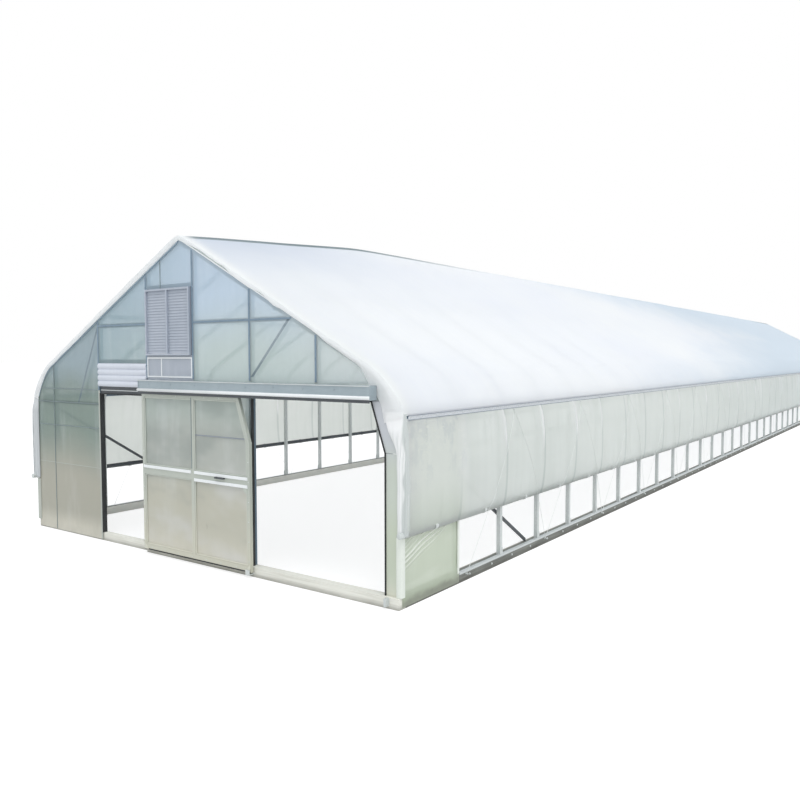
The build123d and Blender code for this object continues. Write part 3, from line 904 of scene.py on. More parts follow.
def make_piece(
    name: str, shape: Shape, material: Material, body: Body = Body.TUNNEL, smooth: bool = False
) -> bpy.types.Object:
    """A shape as an object at the origin that rides on a body.

    Args:
        name: The piece's name.
        shape: Its points and faces.
        material: Its finish.
        body: The body that it moves with.
        smooth: Whether its shading is smooth.

    Returns:
        The object.
    """
    mesh = bpy.data.meshes.new(name)
    corners = np.concatenate([rows.reshape(-1) for rows in shape.faces])
    sizes = np.concatenate([np.full(len(rows), rows.shape[1]) for rows in shape.faces])
    mesh.vertices.add(len(shape.points))
    mesh.vertices.foreach_set("co", shape.points.astype(np.float32).reshape(-1))
    mesh.loops.add(len(corners))
    mesh.loops.foreach_set("vertex_index", corners.astype(np.int32))
    mesh.polygons.add(len(sizes))
    mesh.polygons.foreach_set("loop_start", (np.cumsum(sizes) - sizes).astype(np.int32))
    mesh.update(calc_edges=True)
    mesh.polygons.foreach_set("use_smooth", np.full(len(sizes), smooth))
    if shape.folds is not None:
        mesh.attributes.new("fold", "FLOAT", "POINT").data.foreach_set("value", shape.folds.astype(np.float32))
    mesh.materials.append(material)
    piece = bpy.data.objects.new(name, mesh)
    bpy.context.scene.collection.objects.link(piece)
    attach(piece, body.value)
    log.info("%s: %d faces", name, len(sizes))
    return piece


@dataclass(frozen=True)
class TunnelForm:
    """The arch that hoops, films and end walls share."""

    half_span: float = 3.2
    post_top: float = 1.638
    bend_radius: float = 0.8
    pitch: float = math.radians(28.0)
    bay: float = 1.0
    tube: float = 0.05
    hip_bottom: float = 1.83
    hip_top: float = 1.89
    rail_outer: float = 3.245
    sill_top: float = 0.11
    sill_outer: float = 3.21
    bar_x: float = 3.238
    bar_z: float = 0.73
    bar_radius: float = 0.03
    sheet_face: float = 0.01
    front: float = field(default_factory=lambda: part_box("hoop_posts")[0].y)
    back: float = field(default_factory=lambda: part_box("hoop_posts")[1].y)

    @property
    def bend_x(self) -> float:
        """X of the bend's centre."""
        return self.half_span - self.bend_radius

    @property
    def turn(self) -> float:
        """Angle at which the bend meets the rafter."""
        return math.pi / 2.0 - self.pitch

    @property
    def apex(self) -> float:
        """Height of the hoop's outer peak."""
        reach = self.bend_x + self.bend_radius * math.cos(self.turn)
        return self.post_top + self.bend_radius * math.sin(self.turn) + reach * math.tan(self.pitch)

    @property
    def middle(self) -> float:
        """Y half way along the tunnel."""
        return (self.front + self.back) / 2.0

    def to_corner(self, points: Array, side: float, end: float) -> Array:
        """What is made for the right front corner, mirrored to any corner.

        Args:
            points: Points that start with X and Y.
            side: 1 on the right and -1 on the left.
            end: 1 at the front and -1 at the back.

        Returns:
            The mirrored points.
        """
        moved = points.copy()
        moved[..., 0] *= side
        moved[..., 1] = self.middle + (moved[..., 1] - self.middle) * end
        return moved

    def hoops(self) -> Array:
        """Y of the middle of every hoop."""
        count = round((self.back - self.front - self.tube) / self.bay) + 1
        return self.front + self.tube / 2.0 + self.bay * np.arange(count)

    def arch(self, across: Array) -> tuple[Array, Array, Array, Array, Array]:
        """Points on the hoop's outer face from the left hip rail over the ridge to the right one.

        A point is at an equal share of the length: first round the bend, then straight up the rafter.

        Args:
            across: Places from -1 at the left hip rail through 0 at the ridge to 1 at the right one.

        Returns:
            X, Z, the outward normal's X and Z, and the share of the rafter below each point.
        """
        start = math.asin((self.hip_top - self.post_top) / self.bend_radius)
        bend = self.bend_radius * (self.turn - start)
        reach = self.bend_x + self.bend_radius * math.cos(self.turn)
        rafter = reach / math.cos(self.pitch)
        run = (1.0 - np.abs(across)) * (bend + rafter)
        angle = start + np.minimum(run, bend) / self.bend_radius
        up = np.maximum(run - bend, 0.0)
        side = np.where(across < 0.0, -1.0, 1.0)
        x = self.bend_x + self.bend_radius * np.cos(angle) - up * math.cos(self.pitch)
        z = self.post_top + self.bend_radius * np.sin(angle) + up * math.sin(self.pitch)
        return side * x, z, side * np.cos(angle), np.sin(angle), up / rafter

    def roof_z(self, x: float, inset: float = 0.0) -> float:
        """Height of the hoop's outer face above a place across the tunnel.

        Args:
            x: The place across the tunnel.
            inset: How far inside the outer face, square to it.

        Returns:
            The height.
        """
        reach = abs(x)
        radius = self.bend_radius - inset
        if reach <= self.bend_x + radius * math.cos(self.turn):
            return self.apex - inset / math.cos(self.pitch) - reach * math.tan(self.pitch)
        return self.post_top + math.sqrt(radius**2 - (reach - self.bend_x) ** 2)


@dataclass
class Dress:
    """A group of pieces on the tunnel, with the form that they follow and the finishes that they take."""

    form: TunnelForm
    palette: Palette

    def steel(self, name: str, shape: Shape) -> None:
        """A galvanised piece that stays with the tunnel."""
        make_piece(name, shape, self.palette.galvanised)


@dataclass
class RoofCover(Dress):
    """The air-inflated double film of the roof, wrapped over both end hoops."""

    rise: float = 0.25
    end_rise: float = 0.03
    taper: float = 3.25
    edge: float = 0.034
    ridge_round: float = 0.05
    band: float = 0.046
    left_band: float = 0.058
    left_flare: float = 0.047
    left_flare_from: float = 0.82
    flare: float = 0.19
    flare_from: float = 0.74
    lap: float = 0.024
    rail_gap: float = 0.003
    rail_from: float = 0.80
    slack: float = 0.004
    fine_slack: float = 0.002
    pucker: float = 0.003
    pucker_reach: float = 0.35
    edge_reach: float = 0.12
    waver: float = 0.0015
    lining_gap: float = 0.004
    lining_sag: float = 0.010
    lining_rows: int = 6
    wrap_inset: tuple[float, ...] = (1.0, 0.94, 0.55, 0.2, 0.05, 0.0)
    wrap_ahead: tuple[float, ...] = (0.0175, 0.0225, 0.026, 0.0285, 0.0265, 0.018)
    columns: int = 129
    nodes: tuple[str, ...] = ("left_roof_film", "right_roof_film", "left_eave_film", "right_eave_film")

    def across(self) -> Array:
        """Places across the film, closer together at the ridge."""
        even = np.linspace(-1.0, 1.0, self.columns)
        return np.sign(even) * np.abs(even) ** 1.25

    def run(self) -> Array:
        """Places along the film, closer together at the ends.

        Returns:
            Distances from the front hoop's face.
        """
        length = self.form.back - self.form.front
        near = np.concatenate(([0.0, 0.03, 0.07, 0.12, 0.18, 0.25, 0.34, 0.45], np.arange(0.6, length / 2.0, 0.15)))
        return np.concatenate((near, [length / 2.0], length - near[::-1]))

    def base(self, across: Array) -> tuple[Array, Array]:
        """The outer film before the air lifts it: off the arch by its edge, and led to the rail's face at the hip.

        Args:
            across: Places from the left hip rail to the right one.

        Returns:
            X and Z of each place.
        """
        x, z, nx, nz, _ = self.form.arch(across)
        ends = self.form.arch(np.array((1.0,)))
        at_rail = (self.form.rail_outer + self.rail_gap - ends[0][0]) / ends[2][0]
        leave = smooth_step((np.abs(across) - self.rail_from) / (1.0 - self.rail_from))
        stand = self.edge + (at_rail - self.edge) * leave
        return x + nx * stand, z + nz * (stand * (1.0 - leave) + self.edge * 0.2 * leave)

    def eave_x(self, height: Array) -> Array:
        """X of the outer film on the right, by height, from the hip rail up the bend."""
        x, z = self.base(np.linspace(1.0, 0.75, 40))
        return np.interp(height, z, x)

    def outer_points(self) -> tuple[Array, Array]:
        """The outer film: its base lifted by the air under it.

        The lift grows up the rafter to the ridge, and along the tunnel over the taper at each end. Rows before
        the first hoop turn down over its face, and the last ones do the same at the back.

        Returns:
            Rows by columns of points, and how strongly each lies on the wrapped edge, which sets its painted highlight.
        """
        form, across, run = self.form, self.across(), self.run()
        length = form.back - form.front
        _, _, nx, nz, up = form.arch(across)
        lifted = up * up * 1.08 / (up + 0.08) + 0.10 * np.sin(math.pi * up)
        share = np.minimum(run, length - run) / self.taper
        full = 0.5 * (share + 1.0 - np.sqrt((share - 1.0) ** 2 + 0.006))
        lift = self.end_rise + (self.rise - self.end_rise) * limited(full)
        base_x, base_z = self.base(across)
        rounded = math.tan(form.pitch) * (np.sqrt(base_x**2 + self.ridge_round**2) - np.abs(base_x))
        slack = self.slack * plane_noise(run[:, None] * 0.5 + 40.0, across[None] * 4.0 + 20.0, 11)
        slack += self.fine_slack * plane_noise(run[:, None] * 1.7 + 80.0, across[None] * 8.0 + 60.0, 12)
        near_end = np.exp(-np.minimum(run, length - run) / self.pucker_reach)
        pucker = line_noise(across * 40.0 + 200.0, 13)
        slack = slack * np.sqrt(limited(up)) + self.pucker * near_end[:, None] * pucker
        height = base_z + lift[:, None] * lifted - rounded + slack * nz
        middle = points_at(base_x + slack * nx, (form.front + run)[:, None], height)

        inset, ahead = np.array(self.wrap_inset)[:, None], np.array(self.wrap_ahead)[:, None]
        start = np.where(across < 0.0, self.left_flare_from, self.flare_from)
        low = smooth_step((np.abs(across) - start) / (1.0 - start))
        wide = np.where(across < 0.0, self.left_band + self.left_flare * low, self.band + self.flare * low)
        wide = wide + np.where(across < 0.0, 0.005, 0.024) * line_noise(across * 17.0 + 50.0, 14)
        shift = (inset * wide)[..., None] * points_at(nx, 0.0, nz)
        front, back = middle[0] - shift, middle[-1] - shift
        front[..., 1] = form.front - ahead - self.waver * line_noise(across * 25.0, 15)
        back[..., 1] = form.back + ahead + self.waver * line_noise(across * 23.0, 16)
        points = np.concatenate((front, middle, back[::-1]))
        laps = points[:, [0, -1]].copy()
        laps[..., 2] -= self.lap
        points = np.concatenate((laps[:, :1], points, laps[:, 1:]), axis=1)
        # The wrapped edge, fading along the first rows, takes a painted highlight.
        edge_rows = np.ones(len(inset))
        fade = np.exp(-((np.minimum(run, length - run) / self.edge_reach) ** 2))
        along = np.concatenate((edge_rows, fade, edge_rows))
        return points, np.repeat(along[:, None], points.shape[1], axis=1)

    def inner_points(self) -> Array:
        """The inner film: the arch just clear of the hoops, sagging a little between them.

        Returns:
            Rows by columns of points.
        """
        form = self.form
        across = self.across()[::2]
        run = np.linspace(0.0, form.back - form.front, (len(form.hoops()) - 1) * self.lining_rows + 1)
        x, z, nx, nz, up = form.arch(across)
        sag = self.lining_gap - self.lining_sag * np.sin(math.pi * (run - form.tube / 2.0) / form.bay) ** 2
        sag = sag[:, None] * np.sqrt(limited(up * 4.0)) + self.lining_gap
        return points_at(x + nx * sag, (form.front + run)[:, None], z + nz * sag)

    def build(self) -> None:
        """Both films, each in a front and a back length."""
        outer, folds = self.outer_points()
        inner = self.inner_points()
        for grid, marks, layer, finish in (
            (outer, folds, "roof_film", self.palette.roof),
            (inner, np.zeros(inner.shape[:2]), "roof_lining", self.palette.lining_film),
        ):
            for part, rows in halves(grid.shape[0]):
                points = grid[rows]
                shape = surface(points, marks[rows], turned=True)
                piece = make_piece(f"{layer}_{part}", shape, finish, smooth=True)
                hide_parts(*self.nodes)


@dataclass
class SideCurtains(Dress):
    """The roll-up film of both sides: clipped at the hip rail, wound round the bar at its hem."""

    top: float = 1.842
    stand: float = 0.0035
    overhang: float = 0.02
    bulge: float = 0.05
    pleat_depth: float = 0.026
    hem_depth: float = 0.016
    fold_depth: float = 0.022
    fold_lead: float = 0.10
    film: float = 0.002
    spacing: float = 0.02
    hang_rows: int = 28
    wrap_rows: int = 5
    wrap_turn: float = math.radians(125.0)

    def offset(self, run: Array, drop: Array, seed: int) -> tuple[Array, Array]:
        """How far the film stands out from the rail's face, and where it is folded.

        A billow over the height, wide waves along the length, pleats from the rail, pleats from the hem and one
        sharp fold at most posts.

        Args:
            run: Distances from the front hoop's face.
            drop: Shares of the height from the rail down to the bar.
            seed: Which random folds.

        Returns:
            The distance outwards, and the strength of the fold from 0 to 1.
        """
        length = self.form.back - self.form.front
        ends = 0.55 + 0.45 * smooth_step(np.minimum(run, length - run) / 0.8)
        billow = np.sin(math.pi * limited(drop)) ** 0.65
        wave = 1.0 + 0.22 * line_noise(run * 0.6 + 30.0, seed) + 0.12 * line_noise(run * 1.7 + 9.0, seed + 1)
        lean = run + 0.10 * drop * line_noise(run * 0.8 + 70.0, seed + 2)
        pleat = np.abs(line_noise(lean * 7.0 + 11.0, seed + 3)) * np.abs(line_noise(lean * 3.1, seed + 4))
        upper = limited(1.0 - drop / 0.75) ** 1.3
        lower = limited((drop - 0.45) / 0.55) ** 1.5
        hem = np.abs(line_noise(lean * 5.3 + 400.0, seed + 5)) * lower
        post = np.round((run - self.form.tube / 2.0 + self.fold_lead) / self.form.bay)
        size = limited(0.6 + 0.8 * line_noise(post * 1.0 + 90.0, seed + 6)) * (post > 0.5)
        reach = 0.22 + 0.30 * size
        away = run - self.form.tube / 2.0 - post * self.form.bay - 0.02 * line_noise(post + 300.0, seed + 7)
        away = away + self.fold_lead - 0.05 * drop * line_noise(post + 500.0, seed + 8)
        crest = np.exp(-((away / (0.017 + 0.010 * drop)) ** 2)) * limited((1.0 - drop / reach) * 2.5) * size
        from_rail, from_hem = limited(drop * 12.0), limited((1.0 - drop) * 12.0)
        out = self.bulge * billow * wave * ends
        out = out + self.pleat_depth * pleat * upper * np.sqrt(limited(drop * 9.0))
        out = out + self.hem_depth * hem * from_hem + self.fold_depth * crest * from_rail
        # The fold strength also sets the film's painted highlight.
        fold = limited(crest * 1.2 + pleat * upper * 0.7 + hem * 0.15)
        return out, fold

    def points(self, seed: int) -> tuple[Array, Array]:
        """The film on the right side, from the rail down and round the bar.

        Args:
            seed: Which random folds.

        Returns:
            Rows by columns of points, and the strength of the fold at each, which also sets the painted highlight.
        """
        form = self.form
        length = form.back - form.front
        run = np.linspace(-self.overhang, length + self.overhang, round(length / self.spacing) + 1)
        drop = np.linspace(0.0, 1.0, self.hang_rows) ** 1.15
        out, fold = self.offset(run[None], drop[:, None], seed)
        face = form.rail_outer + self.stand
        radius = form.bar_radius + self.film
        hang_x = face + (form.bar_x + radius - face) * drop[:, None] + out
        hang_z = np.broadcast_to((self.top + (form.bar_z - self.top) * drop)[:, None], hang_x.shape)
        angle = -np.linspace(0.0, 1.0, self.wrap_rows + 1)[1:] * self.wrap_turn
        swell = radius + 0.003 * (1.0 + line_noise(run * 4.0 + 15.0, seed + 9))
        wrap_x = form.bar_x + swell * np.cos(angle)[:, None]
        wrap_z = form.bar_z + swell * np.sin(angle)[:, None]
        x = np.concatenate((hang_x, wrap_x))
        z = np.concatenate((hang_z, wrap_z))
        marks = np.concatenate((fold, np.zeros(wrap_x.shape)))
        return points_at(x, form.front + run, z), marks

    def build(self) -> None:
        """Four lengths of film, two a side."""
        for side, word in SIDES:
            points, folds = self.points(CURTAIN_SEEDS[word])
            points = mirrored(points, side)
            for part, columns in halves(points.shape[1]):
                grid = points[:, columns]
                shape = surface(grid, folds[:, columns], turned=side > 0.0)
                piece = make_piece(f"{word}_curtain_{part}", shape, self.palette.curtain, smooth=True)
                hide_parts("side_curtains")


@dataclass
class EndPanels(Dress):
    """The fixed film of the first and last bay on each side, drawn tight over the sill."""

    foot: float = 0.015
    face: float = 3.2068
    sill_face: float = 3.2135
    bulge: float = 0.012
    crease_slope: float = 0.36
    crease_pitch: float = 0.047
    crease_depth: float = 0.016
    hollow_depth: float = 0.006
    billow_depth: float = 0.010
    strip_half: float = 0.018
    strip_top: float = 0.70

    def points(self, seed: int) -> tuple[Array, Array]:
        """The film of the right front bay: sharp creases that climb from the corner to the hem of the curtain.

        A crease lies wherever height less slope times run is a whole number of pitches, and its ridge is a bell.

        Args:
            seed: Which random folds.

        Returns:
            Rows by columns of points, and the painted highlight at each: on the creases' ridges and, fainter, on broad
            swells.
        """
        form = self.form
        width = form.bay + form.tube
        run = np.linspace(0.0, width, 84)[None]
        top = form.hip_bottom
        rows = (np.linspace(self.foot, 0.3, 22), np.linspace(0.3, 0.76, 120)[1:], np.linspace(0.76, top, 36)[1:])
        height = np.concatenate(rows)[:, None]
        share = run / width
        climb = height - self.crease_slope * run + 0.016 * plane_noise(run * 3.5 + 8.0, height * 3.0 + 3.0, seed)
        phase = climb / self.crease_pitch
        order = np.floor(phase)
        place = phase - order - 0.5 - 0.18 * line_noise(order * 1.3 + 4.0, seed + 5)
        strength = limited(0.75 + 0.5 * line_noise(order * 0.9 + 60.0, seed + 1))
        ridge = np.exp(-((place / 0.17) ** 2)) * strength
        dip = np.exp(-(((place - 0.3) / 0.2) ** 2))
        window = smooth_step((climb - 0.33) / 0.09) * smooth_step((0.80 - height) / 0.05)
        window = window * (1.0 - 0.35 * share) * smooth_step(share / 0.04)
        low = 1.0 - smooth_step((height - form.sill_top - 0.03) / 0.10)
        x = self.face + (self.sill_face - self.face) * low
        full = limited(np.sin(math.pi * limited((height - 0.12) / 0.62)))
        held = limited(np.sin(math.pi * limited(share + 0.02))) ** 0.3
        broad = 0.5 + 0.5 * plane_noise(run * 2.2 + 30.0, (height - 0.15 * run) * 7.0 + 12.0, seed + 2)
        x = x + held * full * (self.bulge * (1.0 - 0.5 * share) + self.billow_depth * broad)
        x = x + held * window * (self.crease_depth * ridge + self.hollow_depth * (1.0 - dip))
        # Painted highlight on the creases' ridges and, fainter, on broad swells.
        soft = 0.25 * smooth_step((broad - 0.55) / 0.3) * full * (1.0 - window)
        return points_at(x, form.front + run, height), limited(ridge * window + soft)

    def corner_cover(self, side: float, end: float) -> Shape:
        """The rounded strip that clamps the film round the corner post, and the flat one on the next post.

        Args:
            side: 1 on the right and -1 on the left.
            end: 1 at the front and -1 at the back.

        Returns:
            Both strips.
        """
        form = self.form
        x, y = form.half_span, form.front
        outer = (
            (-0.048, -0.0125), (-0.040, -0.024), (-0.016, -0.030), (0.012, -0.026), (0.0245, -0.010), (0.0235, 0.034),
        )
        inner = (
            (0.0195, 0.034), (0.0205, -0.009), (0.010, -0.022), (-0.016, -0.026), (-0.038, -0.0205), (-0.044, -0.0125),
        )
        corner = np.array(outer + inner) + np.array((x, y))
        post = y + form.bay + form.tube / 2.0
        near, far = post - self.strip_half, post + self.strip_half
        flat = np.array(((x + 0.016, near), (x + 0.021, near), (x + 0.021, far), (x + 0.016, far)))
        strips = []
        low, high = form.sill_top, self.strip_top
        for profile, foot, head in ((corner, low + 0.002, high - 0.005), (flat, low + 0.004, high)):
            turned = form.to_corner(profile, side, end)
            strips.append(bars(np.array((0.0, 0.0, foot)), np.array((0.0, 0.0, head)), turned, BACKWARD))
        return joined(strips)

    def build(self) -> None:
        """One film in each corner bay, with its clamping strips."""
        for side, word in SIDES:
            for end, part in ENDS:
                points, folds = self.points(210 + int(side) * 10 + int(end) * 3)
                points = self.form.to_corner(points, side, end)
                shape = surface(points, folds, turned=side * end < 0.0)
                piece = make_piece(f"{word}_{part}_end_panel", shape, self.palette.panel, smooth=True)
                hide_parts("side_end_panels")
                cover = self.corner_cover(side, end)
                finish = self.palette.strip if side > 0.0 else self.palette.shaded_strip
                make_piece(f"{word}_{part}_panel_strips", cover, finish)


@dataclass
class CornerGathers(Dress):
    """The bunched edge of each curtain, drawn round the corner of the end wall."""

    curtains: SideCurtains
    cover: RoofCover
    top: float = 1.90
    foot: float = 0.715
    inner: float = 3.172
    left_inner: float = 3.15
    top_reach: float = 0.145
    corner: float = 0.66
    ripples: float = 3.6
    ripple_wide: float = 0.005
    ripple_deep: float = 0.009
    rows: int = 72
    columns: int = 32

    def points(self, seed: int, side: float) -> tuple[Array, Array]:
        """The edge as it would be at the right front corner: a folded strip from the wall's face to the curtain.

        Its top lies flat under the roof film's wrapped edge, and it swells below that.

        Args:
            seed: Which random folds.
            side: 1 for the right wall's edge and -1 for the left wall's.

        Returns:
            Rows by columns of points, and the painted highlight at each: on the part that faces out, most on the
            ripples and near the top.
        """
        form = self.form
        height = np.linspace(self.top, self.foot, self.rows)[:, None]
        turn = np.linspace(0.0, 1.0, self.columns)[None]
        drop = limited((self.curtains.top - height) / (self.curtains.top - form.bar_z))
        out, _ = self.curtains.offset(np.full_like(drop, 0.02), drop, CURTAIN_SEEDS["right"])
        full = 1.0 - smooth_step((height - 1.68) / (1.84 - 1.68))
        hung = form.rail_outer + 0.006 + out + 0.02 * drop
        edge = np.where(height > form.hip_top, np.minimum(hung, self.cover.eave_x(height) - 0.002), hung)
        inner = np.full_like(height, self.left_inner)
        if side > 0.0:
            inner = self.inner - self.top_reach * smooth_step((height - 1.46) / 0.38)
        inner = inner + 0.006 * line_noise(height * 5.0 + 7.0, seed)
        before = limited(turn / self.corner)
        after = limited((turn - self.corner) / (1.0 - self.corner))
        x = inner + (edge - inner) * smooth_step(before * 0.5 + 0.5 * before**1.5)
        y = -0.0165 - (0.006 + 0.014 * full) * np.sin(math.pi * limited(turn / 0.95)) ** 0.7
        y = y + 0.040 * after**1.2
        phase = turn * self.ripples + 0.6 * line_noise(height * 2.2 + 20.0, seed + 1)
        ripple = np.sin(2.0 * math.pi * phase) * np.sin(math.pi * turn) ** 0.7 * (0.1 + 0.9 * full)
        x = x + self.ripple_wide * ripple * (1.0 - 0.5 * after)
        y = y - self.ripple_deep * np.abs(ripple) * (1.0 - 0.6 * after)
        level = limited((height - self.foot) / 1.15)
        ragged = 0.34 + 0.24 * level + 0.07 * line_noise(height * 8.0 + 60.0, seed + 2)
        # Painted highlight on the part that faces the light, strongest on the ripples and near the top.
        facing = 1.0 - smooth_step((turn - ragged) / 0.10)
        bright = np.maximum(0.45 + 0.55 * np.abs(ripple), smooth_step((height - 1.55) / 0.2)) * facing
        return points_at(x, form.front + y, height), limited(bright)

    def build(self) -> None:
        """One gathered edge at each corner."""
        for side, word in SIDES:
            for end, part in ENDS:
                points, folds = self.points(260 + int(side) * 10 + int(end) * 3, side)
                points = self.form.to_corner(points, side, end)
                shape = surface(points, folds, turned=side * end > 0.0)
                finish = self.palette.gather if side > 0.0 else self.palette.shaded_gather
                piece = make_piece(f"{word}_{part}_curtain_edge", shape, finish, smooth=True)


@dataclass
class LockChannels(Dress):
    """The clip channel that holds the films along each hip rail, with its spring wire and dark edge strips as painted
    shadow lines.
    """

    low: float = 1.832
    high: float = 1.863
    depth: float = 0.008
    wall: float = 0.0025
    lip: float = 0.006
    wire: float = 0.0018
    wave: float = 0.10
    edge: float = 0.008
    stand: float = 0.005
    end_gap: float = 0.05

    def build(self) -> None:
        """A channel, its two dark edge strips of painted shadow and a wire on each side."""
        form = self.form
        low, high = self.low, self.high
        back = form.rail_outer + self.stand
        out = back + self.depth
        section = np.array(
            (
                (back, low), (out, low), (out, low + self.lip), (out - self.wall, low + self.lip),
                (out - self.wall, low + self.wall), (back + self.wall, low + self.wall),
                (back + self.wall, high - self.wall), (out - self.wall, high - self.wall),
                (out - self.wall, high - self.lip), (out, high - self.lip), (out, high), (back, high),
            )
        )
        y_low, y_high = form.front + self.end_gap, form.back - self.end_gap
        middle = (low + high) / 2.0
        count = round((y_high - y_low) / self.wave)
        step = np.arange(count * 4 + 1)
        swing = (high - low) / 2.0 - self.lip - 0.001
        path_z = middle + swing * np.array((-1.0, -1.0, 1.0, 1.0))[step % 4]
        path_y = y_low + (y_high - y_low) * step / (count * 4)
        path = points_at(out - self.wall * 1.5, path_y, path_z)
        strip = flat_section(self.depth + 0.004, self.edge, 0.0015) + np.array((back + self.depth / 2.0 + 0.002, 0.0))
        levels = np.array((low - self.edge / 2.0, high + self.edge / 2.0))
        for side, word in SIDES:
            channel = bars(points_at(0.0, y_low, 0.0), points_at(0.0, y_high, 0.0), mirrored(section, side), UPWARD)
            make_piece(f"{word}_clip_channel", channel, self.palette.channel)
            # Dark strips at the channel's edges: painted shadow lines.
            edges = bars(points_at(0.0, y_low, levels), points_at(0.0, y_high, levels), mirrored(strip, side), UPWARD)
            make_piece(f"{word}_clip_shadow_lines", edges, self.palette.edge)
            wire = tube(mirrored(path, side), round_section(self.wire, 4), RIGHTWARD)
            self.steel(f"{word}_spring_wire", wire)


@dataclass
class HoldDownRopes(Dress):
    """The rope laced in a zigzag over each curtain, from hooks on the sill to eyes on the hip rail."""

    curtains: SideCurtains
    radius: float = 0.0025
    first: float = 1.2
    pitch: float = 2.0
    hook_z: float = 0.075
    eye_z: float = 1.806
    seat: float = 0.0005
    steps: int = 16

    def path(self, seed: int) -> Array:
        """The rope's line on the right side: straight between hook and eye, but never inside the film.

        Args:
            seed: Which random folds the film has.

        Returns:
            Points from the front hook to the last one.
        """
        form = self.form
        turns = int((form.back - form.front - self.first) / (self.pitch / 2.0))
        share = np.linspace(0.0, turns, turns * self.steps + 1)
        run = self.first + share * self.pitch / 2.0
        climb = np.abs((share + 1.0) % 2.0 - 1.0)
        height = self.hook_z + (self.eye_z - self.hook_z) * climb
        drop = limited((self.curtains.top - height) / (self.curtains.top - form.bar_z))
        out, _ = self.curtains.offset(run, drop, seed)
        film = form.rail_outer + self.curtains.stand + (form.bar_x + form.bar_radius - form.rail_outer) * drop
        film = film + out + self.radius + 0.002
        foot, hem = form.half_span + 0.022, form.bar_x + form.bar_radius + 0.012 + self.radius
        hem_z = form.bar_z - form.bar_radius
        below = foot + (hem - foot) * (height - self.hook_z) / (hem_z - self.hook_z)
        x = np.where(height < hem_z, below, np.maximum(film, np.where(height < form.bar_z + 0.06, hem, 0.0)))
        return points_at(x, form.front + run, height)

    def build(self) -> None:
        """A rope, its hooks and its eyes on each side."""
        form = self.form
        for side, word in SIDES:
            path = self.path(CURTAIN_SEEDS[word])
            rope = tube(mirrored(path, side), round_section(self.radius, 6), RIGHTWARD)
            make_piece(f"{word}_hold_down_rope", rope, self.palette.rope, smooth=True)
            feet, heads = path[:: 2 * self.steps].copy(), path[self.steps :: 2 * self.steps].copy()
            feet[:, 0], heads[:, 0] = form.sill_outer + self.seat, form.rail_outer + self.seat
            plate = ((0.011, 0.0), (0.011, 0.004), (0.006, 0.006), (0.005, 0.020), (0.009, 0.022), (0.009, 0.027))
            studs = joined([lathes(mirrored(spots, side), (side, 0.0, 0.0), plate, 8) for spots in (feet, heads)])
            self.steel(f"{word}_rope_hooks", studs)


@dataclass
class RollBarDress(Dress):
    """Plugs in the ends of the roll bars, and the clips that hold the hem to them."""

    def build(self) -> None:
        """Two plugs and a row of clips on each side."""
        form = self.form
        low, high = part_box("roll_bars")
        plug = ((0.0312, -0.055), (0.0312, 0.004), (0.024, 0.010), (0.012, 0.012))
        run = form.hoops()[:-1] + form.bay / 2.0
        radius = form.bar_radius + 0.009
        angle = np.linspace(math.radians(60.0), math.radians(-100.0), 9)
        arc = points_at(np.cos(angle), 0.0, np.sin(angle)) * radius + np.array((form.bar_x, 0.0, form.bar_z))
        section = flat_section(0.05, 0.004, 0.001)
        one = tube(arc, section, (1.0, 0.0, 0.5))
        faces = stack_faces(len(run), len(arc), len(section))
        ends = ((low.y, FORWARD), (high.y, BACKWARD))
        for side, word in SIDES:
            plugs = [lathes(points_at([side * form.bar_x], y, form.bar_z), way, plug, 16) for y, way in ends]
            self.steel(f"{word}_bar_plugs", joined(plugs))
            points = mirrored(one.points[None] + points_at(0.0, run, 0.0)[:, None], side)
            clips = Shape(points.reshape(-1, 3), faces).outward()
            self.steel(f"{word}_hem_clips", clips)


@dataclass
class SillDress(Dress):
    """Metal capping and bolts along the side sills, and an angle plate at the foot of each post."""

    cap: float = 0.036
    lip: float = 0.022
    sheet: float = 0.003
    seat: float = 0.0004
    end_gap: float = 0.01
    bolt_start: float = 0.22
    bolt_pitch: float = 0.5
    plate_width: float = 0.066
    plate_height: float = 0.075

    def feet(self, side: float) -> Shape:
        """The plates on the posts' outer faces, just above the sill.

        Args:
            side: 1 on the right and -1 on the left.

        Returns:
            All the plates of that side.
        """
        form = self.form
        low = points_at(side * (form.half_span + 0.0027), form.hoops()[2:-2], form.sill_top + 0.004)
        high = low + np.array((0.0, 0.0, self.plate_height))
        return bars(low, high, flat_section(self.plate_width, 0.005, 0.001), RIGHTWARD)

    def build(self) -> None:
        """A capping angle, bolt heads and post feet on each side."""
        form = self.form
        outer, top = form.sill_outer, form.sill_top
        cap, lip, wall, seat = self.cap, self.lip, self.sheet, self.seat
        section = np.array(
            (
                (outer + wall, top - lip), (outer + wall, top + wall), (outer - cap, top + wall),
                (outer - cap, top + seat), (outer + seat, top + seat), (outer + seat, top - lip),
            )
        )
        corner = form.bay + form.tube
        low, high = form.front + corner + self.end_gap, form.back - corner - self.end_gap
        run = np.arange(low, form.back - corner, self.bolt_pitch)
        bolts = points_at(outer, run + self.bolt_start, form.sill_top / 2.0)
        head = ((0.014, 0.0), (0.014, 0.003), (0.009, 0.0035), (0.009, 0.008), (0.006, 0.010))
        for side, word in SIDES:
            capping = bars(points_at(0.0, low, 0.0), points_at(0.0, high, 0.0), mirrored(section, side), UPWARD)
            make_piece(f"{word}_sill_capping", capping, self.palette.aluminium)
            studs = lathes(mirrored(bolts, side), (side, 0.0, 0.0), head, 6)
            self.steel(f"{word}_sill_bolts", studs)
            self.steel(f"{word}_post_feet", self.feet(side))


